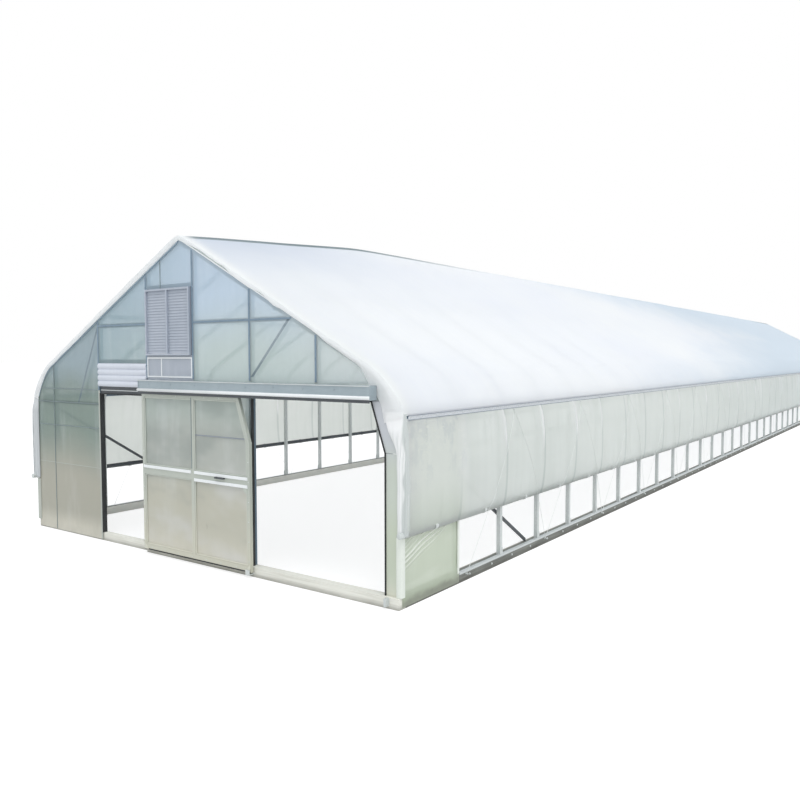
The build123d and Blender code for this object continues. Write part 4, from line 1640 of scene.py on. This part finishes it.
@dataclass
class WallTrim(Dress):
    """What the trims of both end walls share: strips, edge channels and screws on the sheets' outer face."""

    strip: float = 0.026
    thick: float = 0.004
    cut: float = 0.0012
    channel: float = 0.014
    channel_gap: float = 0.002
    seat: float = 0.0002
    wall_edge: float = 0.05
    foot: float = 0.02
    screw_pitch: float = 0.3
    way: Way = FORWARD

    def sheets(self) -> float:
        """Y of the outer face of the front wall's sheets."""
        return self.form.front - self.form.sheet_face

    def face(self) -> float:
        """Y of the middle of a strip that lies on the sheets."""
        return self.sheets() + self.way[1] * (self.seat + self.thick / 2.0)

    def lines(self, rows: Rows, width: float) -> Shape:
        """Flat strips on the wall between pairs of points.

        Args:
            rows: X and Z of both ends of each strip.
            width: Their width.

        Returns:
            All the strips.
        """
        x0, z0, x1, z1 = np.array(rows, float).T
        section = flat_section(width, self.thick, self.cut)
        return bars(points_at(x0, self.face(), z0), points_at(x1, self.face(), z1), section, self.way)

    def edging(self, across: Array, inset: float) -> Shape:
        """The channel that holds the sheets' edge under the film: the arch drawn in by an inset.

        Args:
            across: Places on the arch; half an arch stops just short of the ridge.
            inset: How far it lies inside the arch.

        Returns:
            The channel.
        """
        x, z, nx, nz, _ = self.form.arch(across)
        path = points_at(x - nx * inset, self.face(), z - nz * inset)
        side = across[0] + across[-1]
        if side:
            path[:, 0] = side * np.maximum(path[:, 0] * side, self.channel_gap)
        return tube(path, flat_section(self.channel, self.thick, self.cut), self.way)

    def screws(self, rows: Rows) -> Shape:
        """Washered screws along strips.

        Args:
            rows: X and Z of both ends of each strip.

        Returns:
            All the screws.
        """
        spots = []
        y = self.face() + self.way[1] * self.thick / 2.0
        for x0, z0, x1, z1 in rows:
            count = max(int(math.hypot(x1 - x0, z1 - z0) / self.screw_pitch), 1)
            share = (np.arange(count) + 0.5) / count
            spots.append(points_at(x0 + (x1 - x0) * share, y, z0 + (z1 - z0) * share))
        return lathes(np.concatenate(spots), self.way, WASHERED_SCREW, 6)


@dataclass
class FrontTrim(WallTrim):
    """Joint strips, edge channels, battens and screws on the sheets of the front wall."""

    left_mullion: float = -2.752
    small_post: float = -1.675
    louvre_left: float = -0.65
    louvre_mullion: float = -0.36
    louvre_right: float = 0.22
    door_post: float = 1.165
    gable_post: float = 2.135
    track_top: float = 2.15
    girt_drop: float = 0.985
    louvre_drop: float = 0.57
    louvre_height: float = 0.8
    edge_inset: float = 0.028
    fine_inset: float = 0.03
    left_channel: float = 0.030
    right_channel: float = 0.001
    left_joints: tuple[float, ...] = (1.815, 2.0, 1.49)
    low_joint: float = 0.96

    def uprights(self) -> Rows:
        """The joints over the posts, from the sheets' lower edge to the roof."""
        low = self.track_top + 0.02
        feet = (
            (self.small_post, 2.0), (self.louvre_left, low), (self.louvre_right, low), (self.door_post, low),
            (self.gable_post, low),
        )
        return [(x, foot, x, self.form.roof_z(x, self.edge_inset)) for x, foot in feet]

    def rails(self) -> Rows:
        """The joints over the girts."""
        form = self.form
        girt = form.apex - self.girt_drop
        reach = (form.apex - self.edge_inset / math.cos(form.pitch) - girt) / math.tan(form.pitch)
        half = self.strip / 2.0
        return [
            (self.small_post + half, girt, self.louvre_left - half, girt),
            (self.louvre_right + half, girt, self.door_post - half, girt),
            (self.door_post + half, girt, min(reach, self.gable_post - half), girt),
        ]

    def left_joint(self, height: float) -> Rows:
        """A level joint on the left wall, in two lengths beside its mullion."""
        half = 0.006
        return [
            (-self.form.half_span + self.wall_edge, height, self.left_mullion - half, height),
            (self.left_mullion + half, height, self.small_post - self.strip / 2.0, height),
        ]

    def fine(self) -> Rows:
        """The narrow joints of the left wall and of the lights round the louvre."""
        form, louvre, left = self.form, self.louvre_mullion, self.left_mullion
        louvre_top = form.apex - self.louvre_drop
        rows = [
            (louvre, louvre_top + 0.01, louvre, form.roof_z(louvre, self.fine_inset)),
            (left, self.foot, left, form.roof_z(left, self.fine_inset)),
        ]
        return rows + [row for height in self.left_joints for row in self.left_joint(height)]

    def vent_light(self) -> Rows:
        """The pale frame of the small light under the louvre, with its mullion."""
        half = 0.009
        left, right = self.louvre_left + self.strip / 2.0 + half, self.louvre_right - self.strip / 2.0 - half
        low, high = self.track_top + 0.03, self.form.apex - self.louvre_drop - self.louvre_height - 0.022
        return [
            (left, low, left, high),
            (right, low, right, high),
            (left + half, high - half, right - half, high - half),
            (left + half, low + 0.012, right - half, low + 0.012),
            (self.louvre_mullion, low + 0.021, self.louvre_mullion, high - 0.018),
        ]

    def louvre_rivets(self) -> Shape:
        """Rivets round the louvre's frame."""
        low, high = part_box("louvre_frame")
        inset = 0.011
        up = np.linspace(low.z + 0.05, high.z - 0.05, 7)
        wide = np.linspace(low.x + 0.09, high.x - 0.09, 4)
        centres = spots_round((low.x + inset, high.x - inset), (low.z + inset, high.z - inset), up, wide, low.y)
        return lathes(centres, FORWARD, ((0.006, 0.0), (0.005, 0.002), (0.002, 0.0035)), 8)

    def header_strip(self) -> Shape:
        """The pale seal along the small doorway's header."""
        low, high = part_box("small_doorway_header")
        y, z = low.y - 0.0025, low.z + (high.z - low.z) * 0.45
        section = flat_section(0.010, 0.004, 0.001)
        return bars(np.array((low.x + 0.01, y, z)), np.array((high.x - 0.01, y, z)), section, FORWARD)

    def build(self) -> None:
        """Every strip, channel and screw."""
        palette, metal = self.palette, Slot.ALUMINIUM
        joints = joined([self.lines(self.uprights(), self.strip), self.lines(self.rails(), 0.020)])
        make_piece("front_joint_strips", joints, palette.joint)
        make_piece("front_fine_joints", self.lines(self.fine(), 0.012), palette.fine_joint)
        pale = self.lines(self.left_joint(self.low_joint), 0.009)
        make_piece("front_pale_joints", pale, palette.shaded_strip)
        jamb = self.small_post + 0.006
        jamb_strip = self.lines([(jamb, self.foot, jamb, 1.995)], 0.034)
        make_piece("small_jamb_strip", jamb_strip, palette.shaded_strip)
        make_piece("vent_light_frame", self.lines(self.vent_light(), 0.018), palette.pale)
        # Its dark finish also paints the shadow line under the film's wrapped band.
        left = self.edging(np.linspace(-1.0, 0.0, 61), self.left_channel)
        make_piece("left_edge_channel", left, palette.joint)
        right = self.edging(np.linspace(0.0, 1.0, 61), self.right_channel)
        make_piece("right_edge_channel", right, palette.pale)
        make_piece("front_screws", self.screws(self.uprights() + self.rails()), palette.joint)
        make_piece("louvre_rivets", self.louvre_rivets(), palette.louvre)
        make_piece("header_seal", self.header_strip(), palette.aluminium)


@dataclass
class BackTrim(WallTrim):
    """Joint strips, edge channel and screws on the sheets of the back wall."""

    screw_pitch: float = 0.35
    way: Way = BACKWARD
    inset: float = 0.022

    def sheets(self) -> float:
        """Y of the outer face of the back wall's sheets."""
        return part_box("back_wall_sheets")[1].y

    def rows(self) -> Rows:
        """X and Z of both ends of each joint: over every post, then along the girts between them."""
        form, half = self.form, self.strip / 2.0
        places = [third * form.half_span / 3.0 for third in (-2.0, -1.0, 0.0, 1.0, 2.0)]
        rows = [(x, self.foot, x, form.roof_z(x, self.inset)) for x in places]
        low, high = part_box("back_wall_girts")
        edges = [-form.half_span + self.wall_edge] + places + [form.half_span - self.wall_edge]
        for height in (low.z + form.tube / 2.0, high.z - form.tube / 2.0):
            for left, right in zip(edges[:-1], edges[1:]):
                if height < min(form.roof_z(left, self.inset), form.roof_z(right, self.inset)):
                    rows.append((left + half, height, right - half, height))
        return rows

    def build(self) -> None:
        """Every strip, channel and screw."""
        rows, finish = self.rows(), self.palette.joint
        make_piece("back_joint_strips", self.lines(rows, self.strip), finish)
        make_piece("back_edge_channel", self.edging(np.linspace(-1.0, 1.0, 121), self.inset), finish)
        make_piece("back_screws", self.screws(rows), finish)


@dataclass
class HoopFittings(Dress):
    """Saddles that hold the ridge purlin to every hoop, and bolts at the bends."""

    saddle_width: float = 0.05
    wall: float = 0.003
    bolt_drops: tuple[float, float] = (0.05, 0.14)

    def saddles(self) -> Shape:
        """A plate under the ridge purlin at each hoop."""
        low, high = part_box("ridge_purlin")
        half = (high.x - low.x) / 2.0 + 0.004
        starts = points_at(-half, self.form.hoops()[1:-1], low.z - self.wall / 2.0 - 0.0002)
        ends = starts + np.array((2.0 * half, 0.0, 0.0))
        return bars(starts, ends, flat_section(self.saddle_width, self.wall, 0.0008), UPWARD)

    def bolts(self, side: float) -> Shape:
        """Two bolt heads on the inner face of every post below its bend.

        Args:
            side: 1 on the right and -1 on the left.

        Returns:
            All the bolt heads.
        """
        form = self.form
        places = np.repeat(form.hoops()[1:-1], 2)
        heights = np.tile(form.post_top - np.array(self.bolt_drops), len(places) // 2)
        centres = points_at(side * (form.half_span - form.tube), places, heights)
        head = ((0.012, 0.0), (0.012, 0.002), (0.008, 0.0025), (0.008, 0.008), (0.005, 0.010))
        return lathes(centres, (-side, 0.0, 0.0), head, 6)

    def build(self) -> None:
        """Saddles on the ridge, and bolts on both sides."""
        self.steel("ridge_saddles", self.saddles())
        for side, word in SIDES:
            self.steel(f"{word}_bend_bolts", self.bolts(side))


@dataclass
class DoorTrim:
    """Beads, lock bars, corner plates and rivets on the sliding leaf."""

    palette: Palette
    stile: float = 0.045
    bottom_rail: float = 0.07
    lock_low: float = 1.005
    lock_high: float = 1.115
    chamfer_width: float = 0.17
    chamfer_height: float = 0.5
    bead: float = 0.014
    plate: float = 0.085
    seal: float = 0.0017
    rib: float = 1.53

    def __post_init__(self) -> None:
        """Takes the leaf's edges from its frame."""
        low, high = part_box("door_frame")
        self.left, self.right, self.bottom, self.top = low.x, high.x, low.z, high.z
        self.face = low.y
        self.middle = (self.left + self.right) / 2.0

    def panes(self) -> list[Array]:
        """The corners of the four panes, X and Z, in order round each.

        Returns:
            Four arrays of corners.
        """
        slope = self.chamfer_height / self.chamfer_width
        slant = self.stile * math.sqrt(1.0 + 1.0 / slope**2) * slope
        right, top = self.right - self.stile, self.top - self.stile
        knee = self.top - self.chamfer_height - slant + self.stile * slope
        inner = (self.left + self.stile, self.middle - self.stile / 2.0, self.middle + self.stile / 2.0)
        low = self.bottom + self.bottom_rail
        return [
            np.array(((inner[0], low), (inner[1], low), (inner[1], self.lock_low), (inner[0], self.lock_low))),
            np.array(((inner[0], self.lock_high), (inner[1], self.lock_high), (inner[1], top), (inner[0], top))),
            np.array(((inner[2], low), (right, low), (right, self.lock_low), (inner[2], self.lock_low))),
            np.array(
                (
                    (inner[2], self.lock_high), (right, self.lock_high), (right, knee),
                    (right - (top - knee) / slope, top), (inner[2], top),
                )
            ),
        ]

    def beads(self) -> Shape:
        """Square beads round the panes, just behind the leaf's front."""
        y = self.face + 0.009
        starts, ends = [], []
        for corners in self.panes():
            centre = corners.mean(axis=0)
            inset = corners + unit(centre - corners) * self.bead * 0.7
            loop = points_at(inset[:, 0], y, inset[:, 1])
            starts.append(loop)
            ends.append(np.roll(loop, -1, axis=0))
        section = flat_section(self.bead, 0.012, 0.003)
        return bars(np.concatenate(starts), np.concatenate(ends), section, FORWARD)

    def lock_bars(self) -> Shape:
        """Pale bars on the lock rail: one across the left half and two across the right half."""
        y = self.face - 0.006
        gap = 0.03
        rows = (
            (self.left + gap, self.middle - gap, self.lock_high - 0.020),
            (self.middle + gap, self.right - gap, self.lock_high - 0.020),
            (self.middle + gap, self.right - gap, self.lock_low + 0.004),
        )
        left, right, level = np.array(rows).T
        section = flat_section(0.036, 0.011, 0.004)
        return bars(points_at(left, y, level), points_at(right, y, level), section, FORWARD)

    def plates(self) -> Shape:
        """Three-cornered plates at the leaf's corners and under the lock rail."""
        size, inset = self.plate, 0.006
        shapes = []
        spots = (
            (self.left + inset, self.bottom + inset, 1.0, 1.0), (self.right - inset, self.bottom + inset, -1.0, 1.0),
            (self.left + inset, self.top - inset, 1.0, -1.0),
            (self.right - self.stile, self.lock_low - 0.004, -1.0, -1.0),
        )
        for x, z, across, up in spots:
            start = np.array((x, self.face - 0.0003, z))
            corners = np.array(((0.0, 0.0), (size * across, 0.0), (0.0, size * up)))
            shapes.append(bars(start, start - np.array((0.0, 0.003, 0.0)), corners, UPWARD))
        return joined(shapes)

    def rivets(self) -> Shape:
        """Round rivet heads along the stiles and rails."""
        high = np.arange(self.bottom + 0.12, self.top - 0.55, 0.22)
        wide = np.arange(self.left + 0.15, self.right - 0.2, 0.25)
        xs = (self.left + self.stile / 2.0 - 0.0005, self.right - self.stile / 2.0 + 0.0005)
        zs = (self.bottom + self.bottom_rail / 2.0, self.top - self.stile / 2.0 + 0.0005)
        centres = spots_round(xs, zs, high, wide, self.face)
        return lathes(centres, FORWARD, ((0.007, 0.0), (0.006, 0.0025), (0.003, 0.004)), 8)

    def foot_seal_and_shadow(self) -> Shape:
        """The dark strip along the leaf's lower edge: a rubber seal, dark also as painted shadow under the leaf."""
        start = np.array((self.left + 0.004, self.face - self.seal, self.bottom + 0.008))
        end = start + np.array((self.right - self.left - 0.008, 0.0, 0.0))
        return bars(start, end, flat_section(0.015, 0.003, 0.001), FORWARD)

    def mullion_shadow_strip(self) -> Shape:
        """A dim strip up the left edge of the upper mullion: painted shadow."""
        x, y = self.middle - self.stile / 2.0 + 0.004, self.face - self.seal
        start, end = np.array((x, y, self.lock_high + 0.02)), np.array((x, y, self.top - 0.03))
        return bars(start, end, flat_section(0.011, 0.003, 0.001), BACKWARD)

    def pane_rib(self) -> Shape:
        """The thin rib across the upper right pane."""
        start = np.array((self.middle + self.stile / 2.0 - 0.002, self.face + 0.011, self.rib))
        end = start + np.array((self.right - self.middle - self.stile * 1.5 - 0.028, 0.0, 0.0))
        return bars(start, end, flat_section(0.012, 0.010, 0.003), FORWARD)

    def build(self) -> None:
        """Every trim of the leaf, riding with it."""
        palette, metal = self.palette, Slot.ALUMINIUM
        for name, shape, finish, slot in (
            ("door_mullion_shadow_strip", self.mullion_shadow_strip(), palette.fine_joint, Slot.RUBBER),
            ("door_pane_rib", self.pane_rib(), palette.edge, metal),
            ("door_foot_seal_and_shadow", self.foot_seal_and_shadow(), palette.rubber, Slot.RUBBER),
            ("door_beads", self.beads(), palette.leaf_bead, metal),
            ("door_lock_bars", self.lock_bars(), palette.pale, metal),
            ("door_corner_plates", self.plates(), palette.leaf_bead, metal),
            ("door_rivets", self.rivets(), palette.galvanised, Slot.GALVANISED),
        ):
            make_piece(name, shape, finish, Body.DOOR)


@dataclass
class TrackTrim:
    """Rounded lip, top flange, a dark strip of painted shade under the lip, end boxes and bolts of the door track."""

    palette: Palette
    lip_radius: float = 0.019
    flange: float = 0.010
    # Height of the dark strip of painted shade under the lip.
    brush: float = 0.030
    left_box: float = 0.003
    right_box: float = 0.045

    def __post_init__(self) -> None:
        """Takes the track's edges from its node."""
        low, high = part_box("door_track")
        self.left, self.right, self.bottom, self.top = low.x, high.x, low.z, high.z
        self.front, self.back = low.y, high.y

    def bar(self, y: float, z: float, profile: Array) -> Shape:
        """A bar along the whole track and its end boxes, with the Y and Z of its middle and its section."""
        start = np.array((self.left - self.left_box, y, z))
        return bars(start, np.array((self.right + self.right_box, y, z)), profile, UPWARD)

    def build(self) -> None:
        """Every trim of the track."""
        palette = self.palette
        lip = self.bar(self.front + 0.004, self.bottom + 0.018, round_section(self.lip_radius, 16))
        make_piece("track_lip", lip, palette.pale, smooth=True)
        flange = self.bar(self.front + 0.008, self.top - 0.004, flat_section(0.016, self.flange, 0.003))
        make_piece("track_flange", flange, palette.aluminium)
        front, low, high = self.front + 0.004, self.bottom - 0.004, self.top + 0.003
        corners = np.array(((front, low), (self.back, low), (self.back, high), (front, high)))
        boxes = []
        for x, reach in ((self.left - 0.0003, -self.left_box), (self.right + 0.0003, self.right_box)):
            start = np.array((x, 0.0, 0.0))
            profile = mirrored(corners, math.copysign(1.0, reach))
            boxes.append(bars(start, start + np.array((reach, 0.0, 0.0)), profile, UPWARD))
        make_piece("track_end_boxes", joined(boxes), palette.track)
        # A dark strip under the lip: painted shade.
        level = self.bottom - self.brush / 2.0 - 0.0015
        seal = self.bar(self.front + 0.006, level, flat_section(0.008, self.brush, 0.001))
        make_piece("track_shade_strip", seal, palette.dark)
        run = np.arange(self.left + 0.2, self.right - 0.1, 0.42)
        centres = points_at(run, self.front + 0.010, self.top - 0.045)
        head = ((0.009, 0.0), (0.009, 0.0025), (0.006, 0.003), (0.006, 0.006), (0.004, 0.008))
        make_piece("track_bolts", lathes(centres, FORWARD, head, 6), palette.track)


@dataclass
class Studio:
    """Floor, light and camera round the part."""

    eye: tuple[float, float, float] = (7.399, -25.378, 2.423)
    yaw: float = 35.559
    tip: float = -3.193
    roll: float = 0.075
    lens: float = 34.404
    sensor: float = 36.0
    view_end: float = 1000.0
    floor_side: float = 600.0
    floor_level: float = -0.002
    floor_tone: Colour = (0.78, 0.78, 0.77)
    floor_seen: Colour = (0.36, 0.36, 0.36)
    floor_glow: float = 0.74
    white: Colour = (1.0, 1.0, 1.0)
    sky_tone: Colour = (0.94, 0.97, 1.0)
    sky: float = 0.94
    sun: float = 1.05
    sun_angle: float = 28.0
    sun_way: tuple[float, float, float] = (-0.45, 0.35, -1.0)

    def seen(self, nodes: Nodes) -> Value:
        """One for a ray that the camera, a mirror or a pane sends, and zero for light."""
        path = nodes.add("ShaderNodeLightPath")
        kinds = [Value(nodes, path.outputs[name]) for name in ("Is Camera Ray", "Is Glossy Ray", "Is Transmission Ray")]
        return (kinds[0] + kinds[1] + kinds[2]).step(0.0, 1.0)

    def floor(self) -> None:
        """A pale floor: white to the camera except in the part's shadow."""
        nodes = Nodes("pale_floor")
        matt = nodes.add("ShaderNodeBsdfDiffuse", {"Color": self.floor_tone})
        bright = nodes.add("ShaderNodeEmission", {"Color": self.white, "Strength": self.floor_glow})
        lit = nodes.add("ShaderNodeBsdfDiffuse", {"Color": self.floor_seen})
        shown = nodes.add("ShaderNodeAddShader", {0: bright.outputs[0], 1: lit.outputs[0]})
        sockets = {0: self.seen(nodes), 1: matt.outputs[0], 2: shown.outputs[0]}
        material = nodes.output(nodes.add("ShaderNodeMixShader", sockets))
        half, level = self.floor_side / 2.0, self.floor_level
        mesh = bpy.data.meshes.new("floor")
        corners = [(-half, -half, level), (half, -half, level), (half, half, level), (-half, half, level)]
        mesh.from_pydata(corners, [], [(0, 1, 2, 3)])
        mesh.materials.append(material)
        floor = bpy.data.objects.new("floor", mesh)
        bpy.context.scene.collection.objects.link(floor)

    def light(self) -> None:
        """A soft even sky that the camera sees as white, and one wide lamp from above."""
        scene = bpy.context.scene
        scene.world = bpy.data.worlds.new("studio")
        scene.world.use_nodes = True
        nodes = Nodes("studio_sky")
        nodes.tree = scene.world.node_tree
        nodes.tree.nodes.clear()
        dim = nodes.add("ShaderNodeBackground", {"Color": self.sky_tone, "Strength": self.sky})
        white = nodes.add("ShaderNodeBackground", {"Color": self.white, "Strength": 1.0})
        mixed = nodes.add("ShaderNodeMixShader", {0: self.seen(nodes), 1: dim.outputs[0], 2: white.outputs[0]})
        nodes.add("ShaderNodeOutputWorld", {"Surface": mixed.outputs[0]})
        bpy.data.materials.remove(nodes.material)
        lamp = bpy.data.lights.new("key", "SUN")
        lamp.energy = self.sun
        lamp.angle = math.radians(self.sun_angle)
        key = bpy.data.objects.new("key", lamp)
        key.rotation_euler = Vector(self.sun_way).to_track_quat("-Z", "Y").to_euler()
        scene.collection.objects.link(key)

    def camera(self) -> None:
        """The camera at the photograph's place."""
        data = bpy.data.cameras.new("camera")
        data.lens, data.sensor_width = self.lens, self.sensor
        data.clip_end = self.view_end
        camera = bpy.data.objects.new("camera", data)
        camera.location = self.eye
        camera.rotation_euler = (math.radians(90.0 + self.tip), math.radians(self.roll), math.radians(self.yaw))
        bpy.context.scene.collection.objects.link(camera)
        bpy.context.scene.camera = camera

    def build(self) -> None:
        """Everything round the part."""
        self.floor()
        self.light()
        self.camera()
        bpy.context.scene.view_settings.view_transform = "Standard"


def dress_frame(palette: Palette) -> None:
    """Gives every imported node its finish.

    Args:
        palette: The finishes.
    """
    groups = {
        "galvanised": (
            "hoop_posts", "hoop_bends", "left_rafters", "right_rafters", "ridge_purlin", "roof_purlins",
            "track_brackets", "door_hangers", "door_floor_guides", "front_wall_braces",
        ),
        # Frame members take galvanised steel darkened as painted shade.
        "shaded_frame": (
            "front_wall_posts", "front_wall_girts", "doorway_header", "doorway_right_post", "doorway_corner_strut",
            "back_wall_posts", "back_wall_girts", "hip_rails",
        ),
        # Roll bars and corner braces take the dark finish as painted shade.
        "dark": ("small_doorway_header", "roll_bars", "door_pull", "corner_braces"),
        "leaf_frame": ("door_frame",),
        "track": ("door_track",),
        "side_timber": ("side_sills", "back_sill"),
        "front_timber": ("front_sill",),
        "sheet": ("gable_sheets", "back_wall_sheets"),
        "lit_parked_sheet": ("parked_bay_sheets",),
        "light_sheet": ("louvre_underlight",),
        "shaded_left_sheet": ("left_wall_sheets",),
        "corner_sheet": ("doorway_side_sheets",),
        "pane": ("door_panes",),
        "rubber": ("doorway_lining", "small_doorway_lining"),
        "louvre": ("louvre_frame", "louvre_blades"),
        "slat": ("rolled_shutter",),
        "roof": ("left_roof_film", "right_roof_film", "left_eave_film", "right_eave_film"),
        "curtain": ("side_curtains", "side_end_panels"),
    }
    for finish, names in groups.items():
        for name in names:
            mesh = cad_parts[name].data
            mesh.materials.clear()
            mesh.materials.append(getattr(palette, finish))


def main() -> None:
    """Builds every piece in order."""
    logging.basicConfig(level=logging.INFO, format="%(name)s: %(message)s")
    palette = Palette()
    form = TunnelForm()
    dress_frame(palette)
    curtains = SideCurtains(form, palette)
    cover = RoofCover(form, palette)
    cover.build()
    curtains.build()
    EndPanels(form, palette).build()
    CornerGathers(form, palette, curtains, cover).build()
    LockChannels(form, palette).build()
    HoldDownRopes(form, palette, curtains).build()
    RollBarDress(form, palette).build()
    SillDress(form, palette).build()
    FrontTrim(form, palette).build()
    BackTrim(form, palette).build()
    HoopFittings(form, palette).build()
    DoorTrim(palette).build()
    TrackTrim(palette).build()
    Studio().build()
    bpy.context.view_layer.update()


if __name__ == "__main__":
    main()
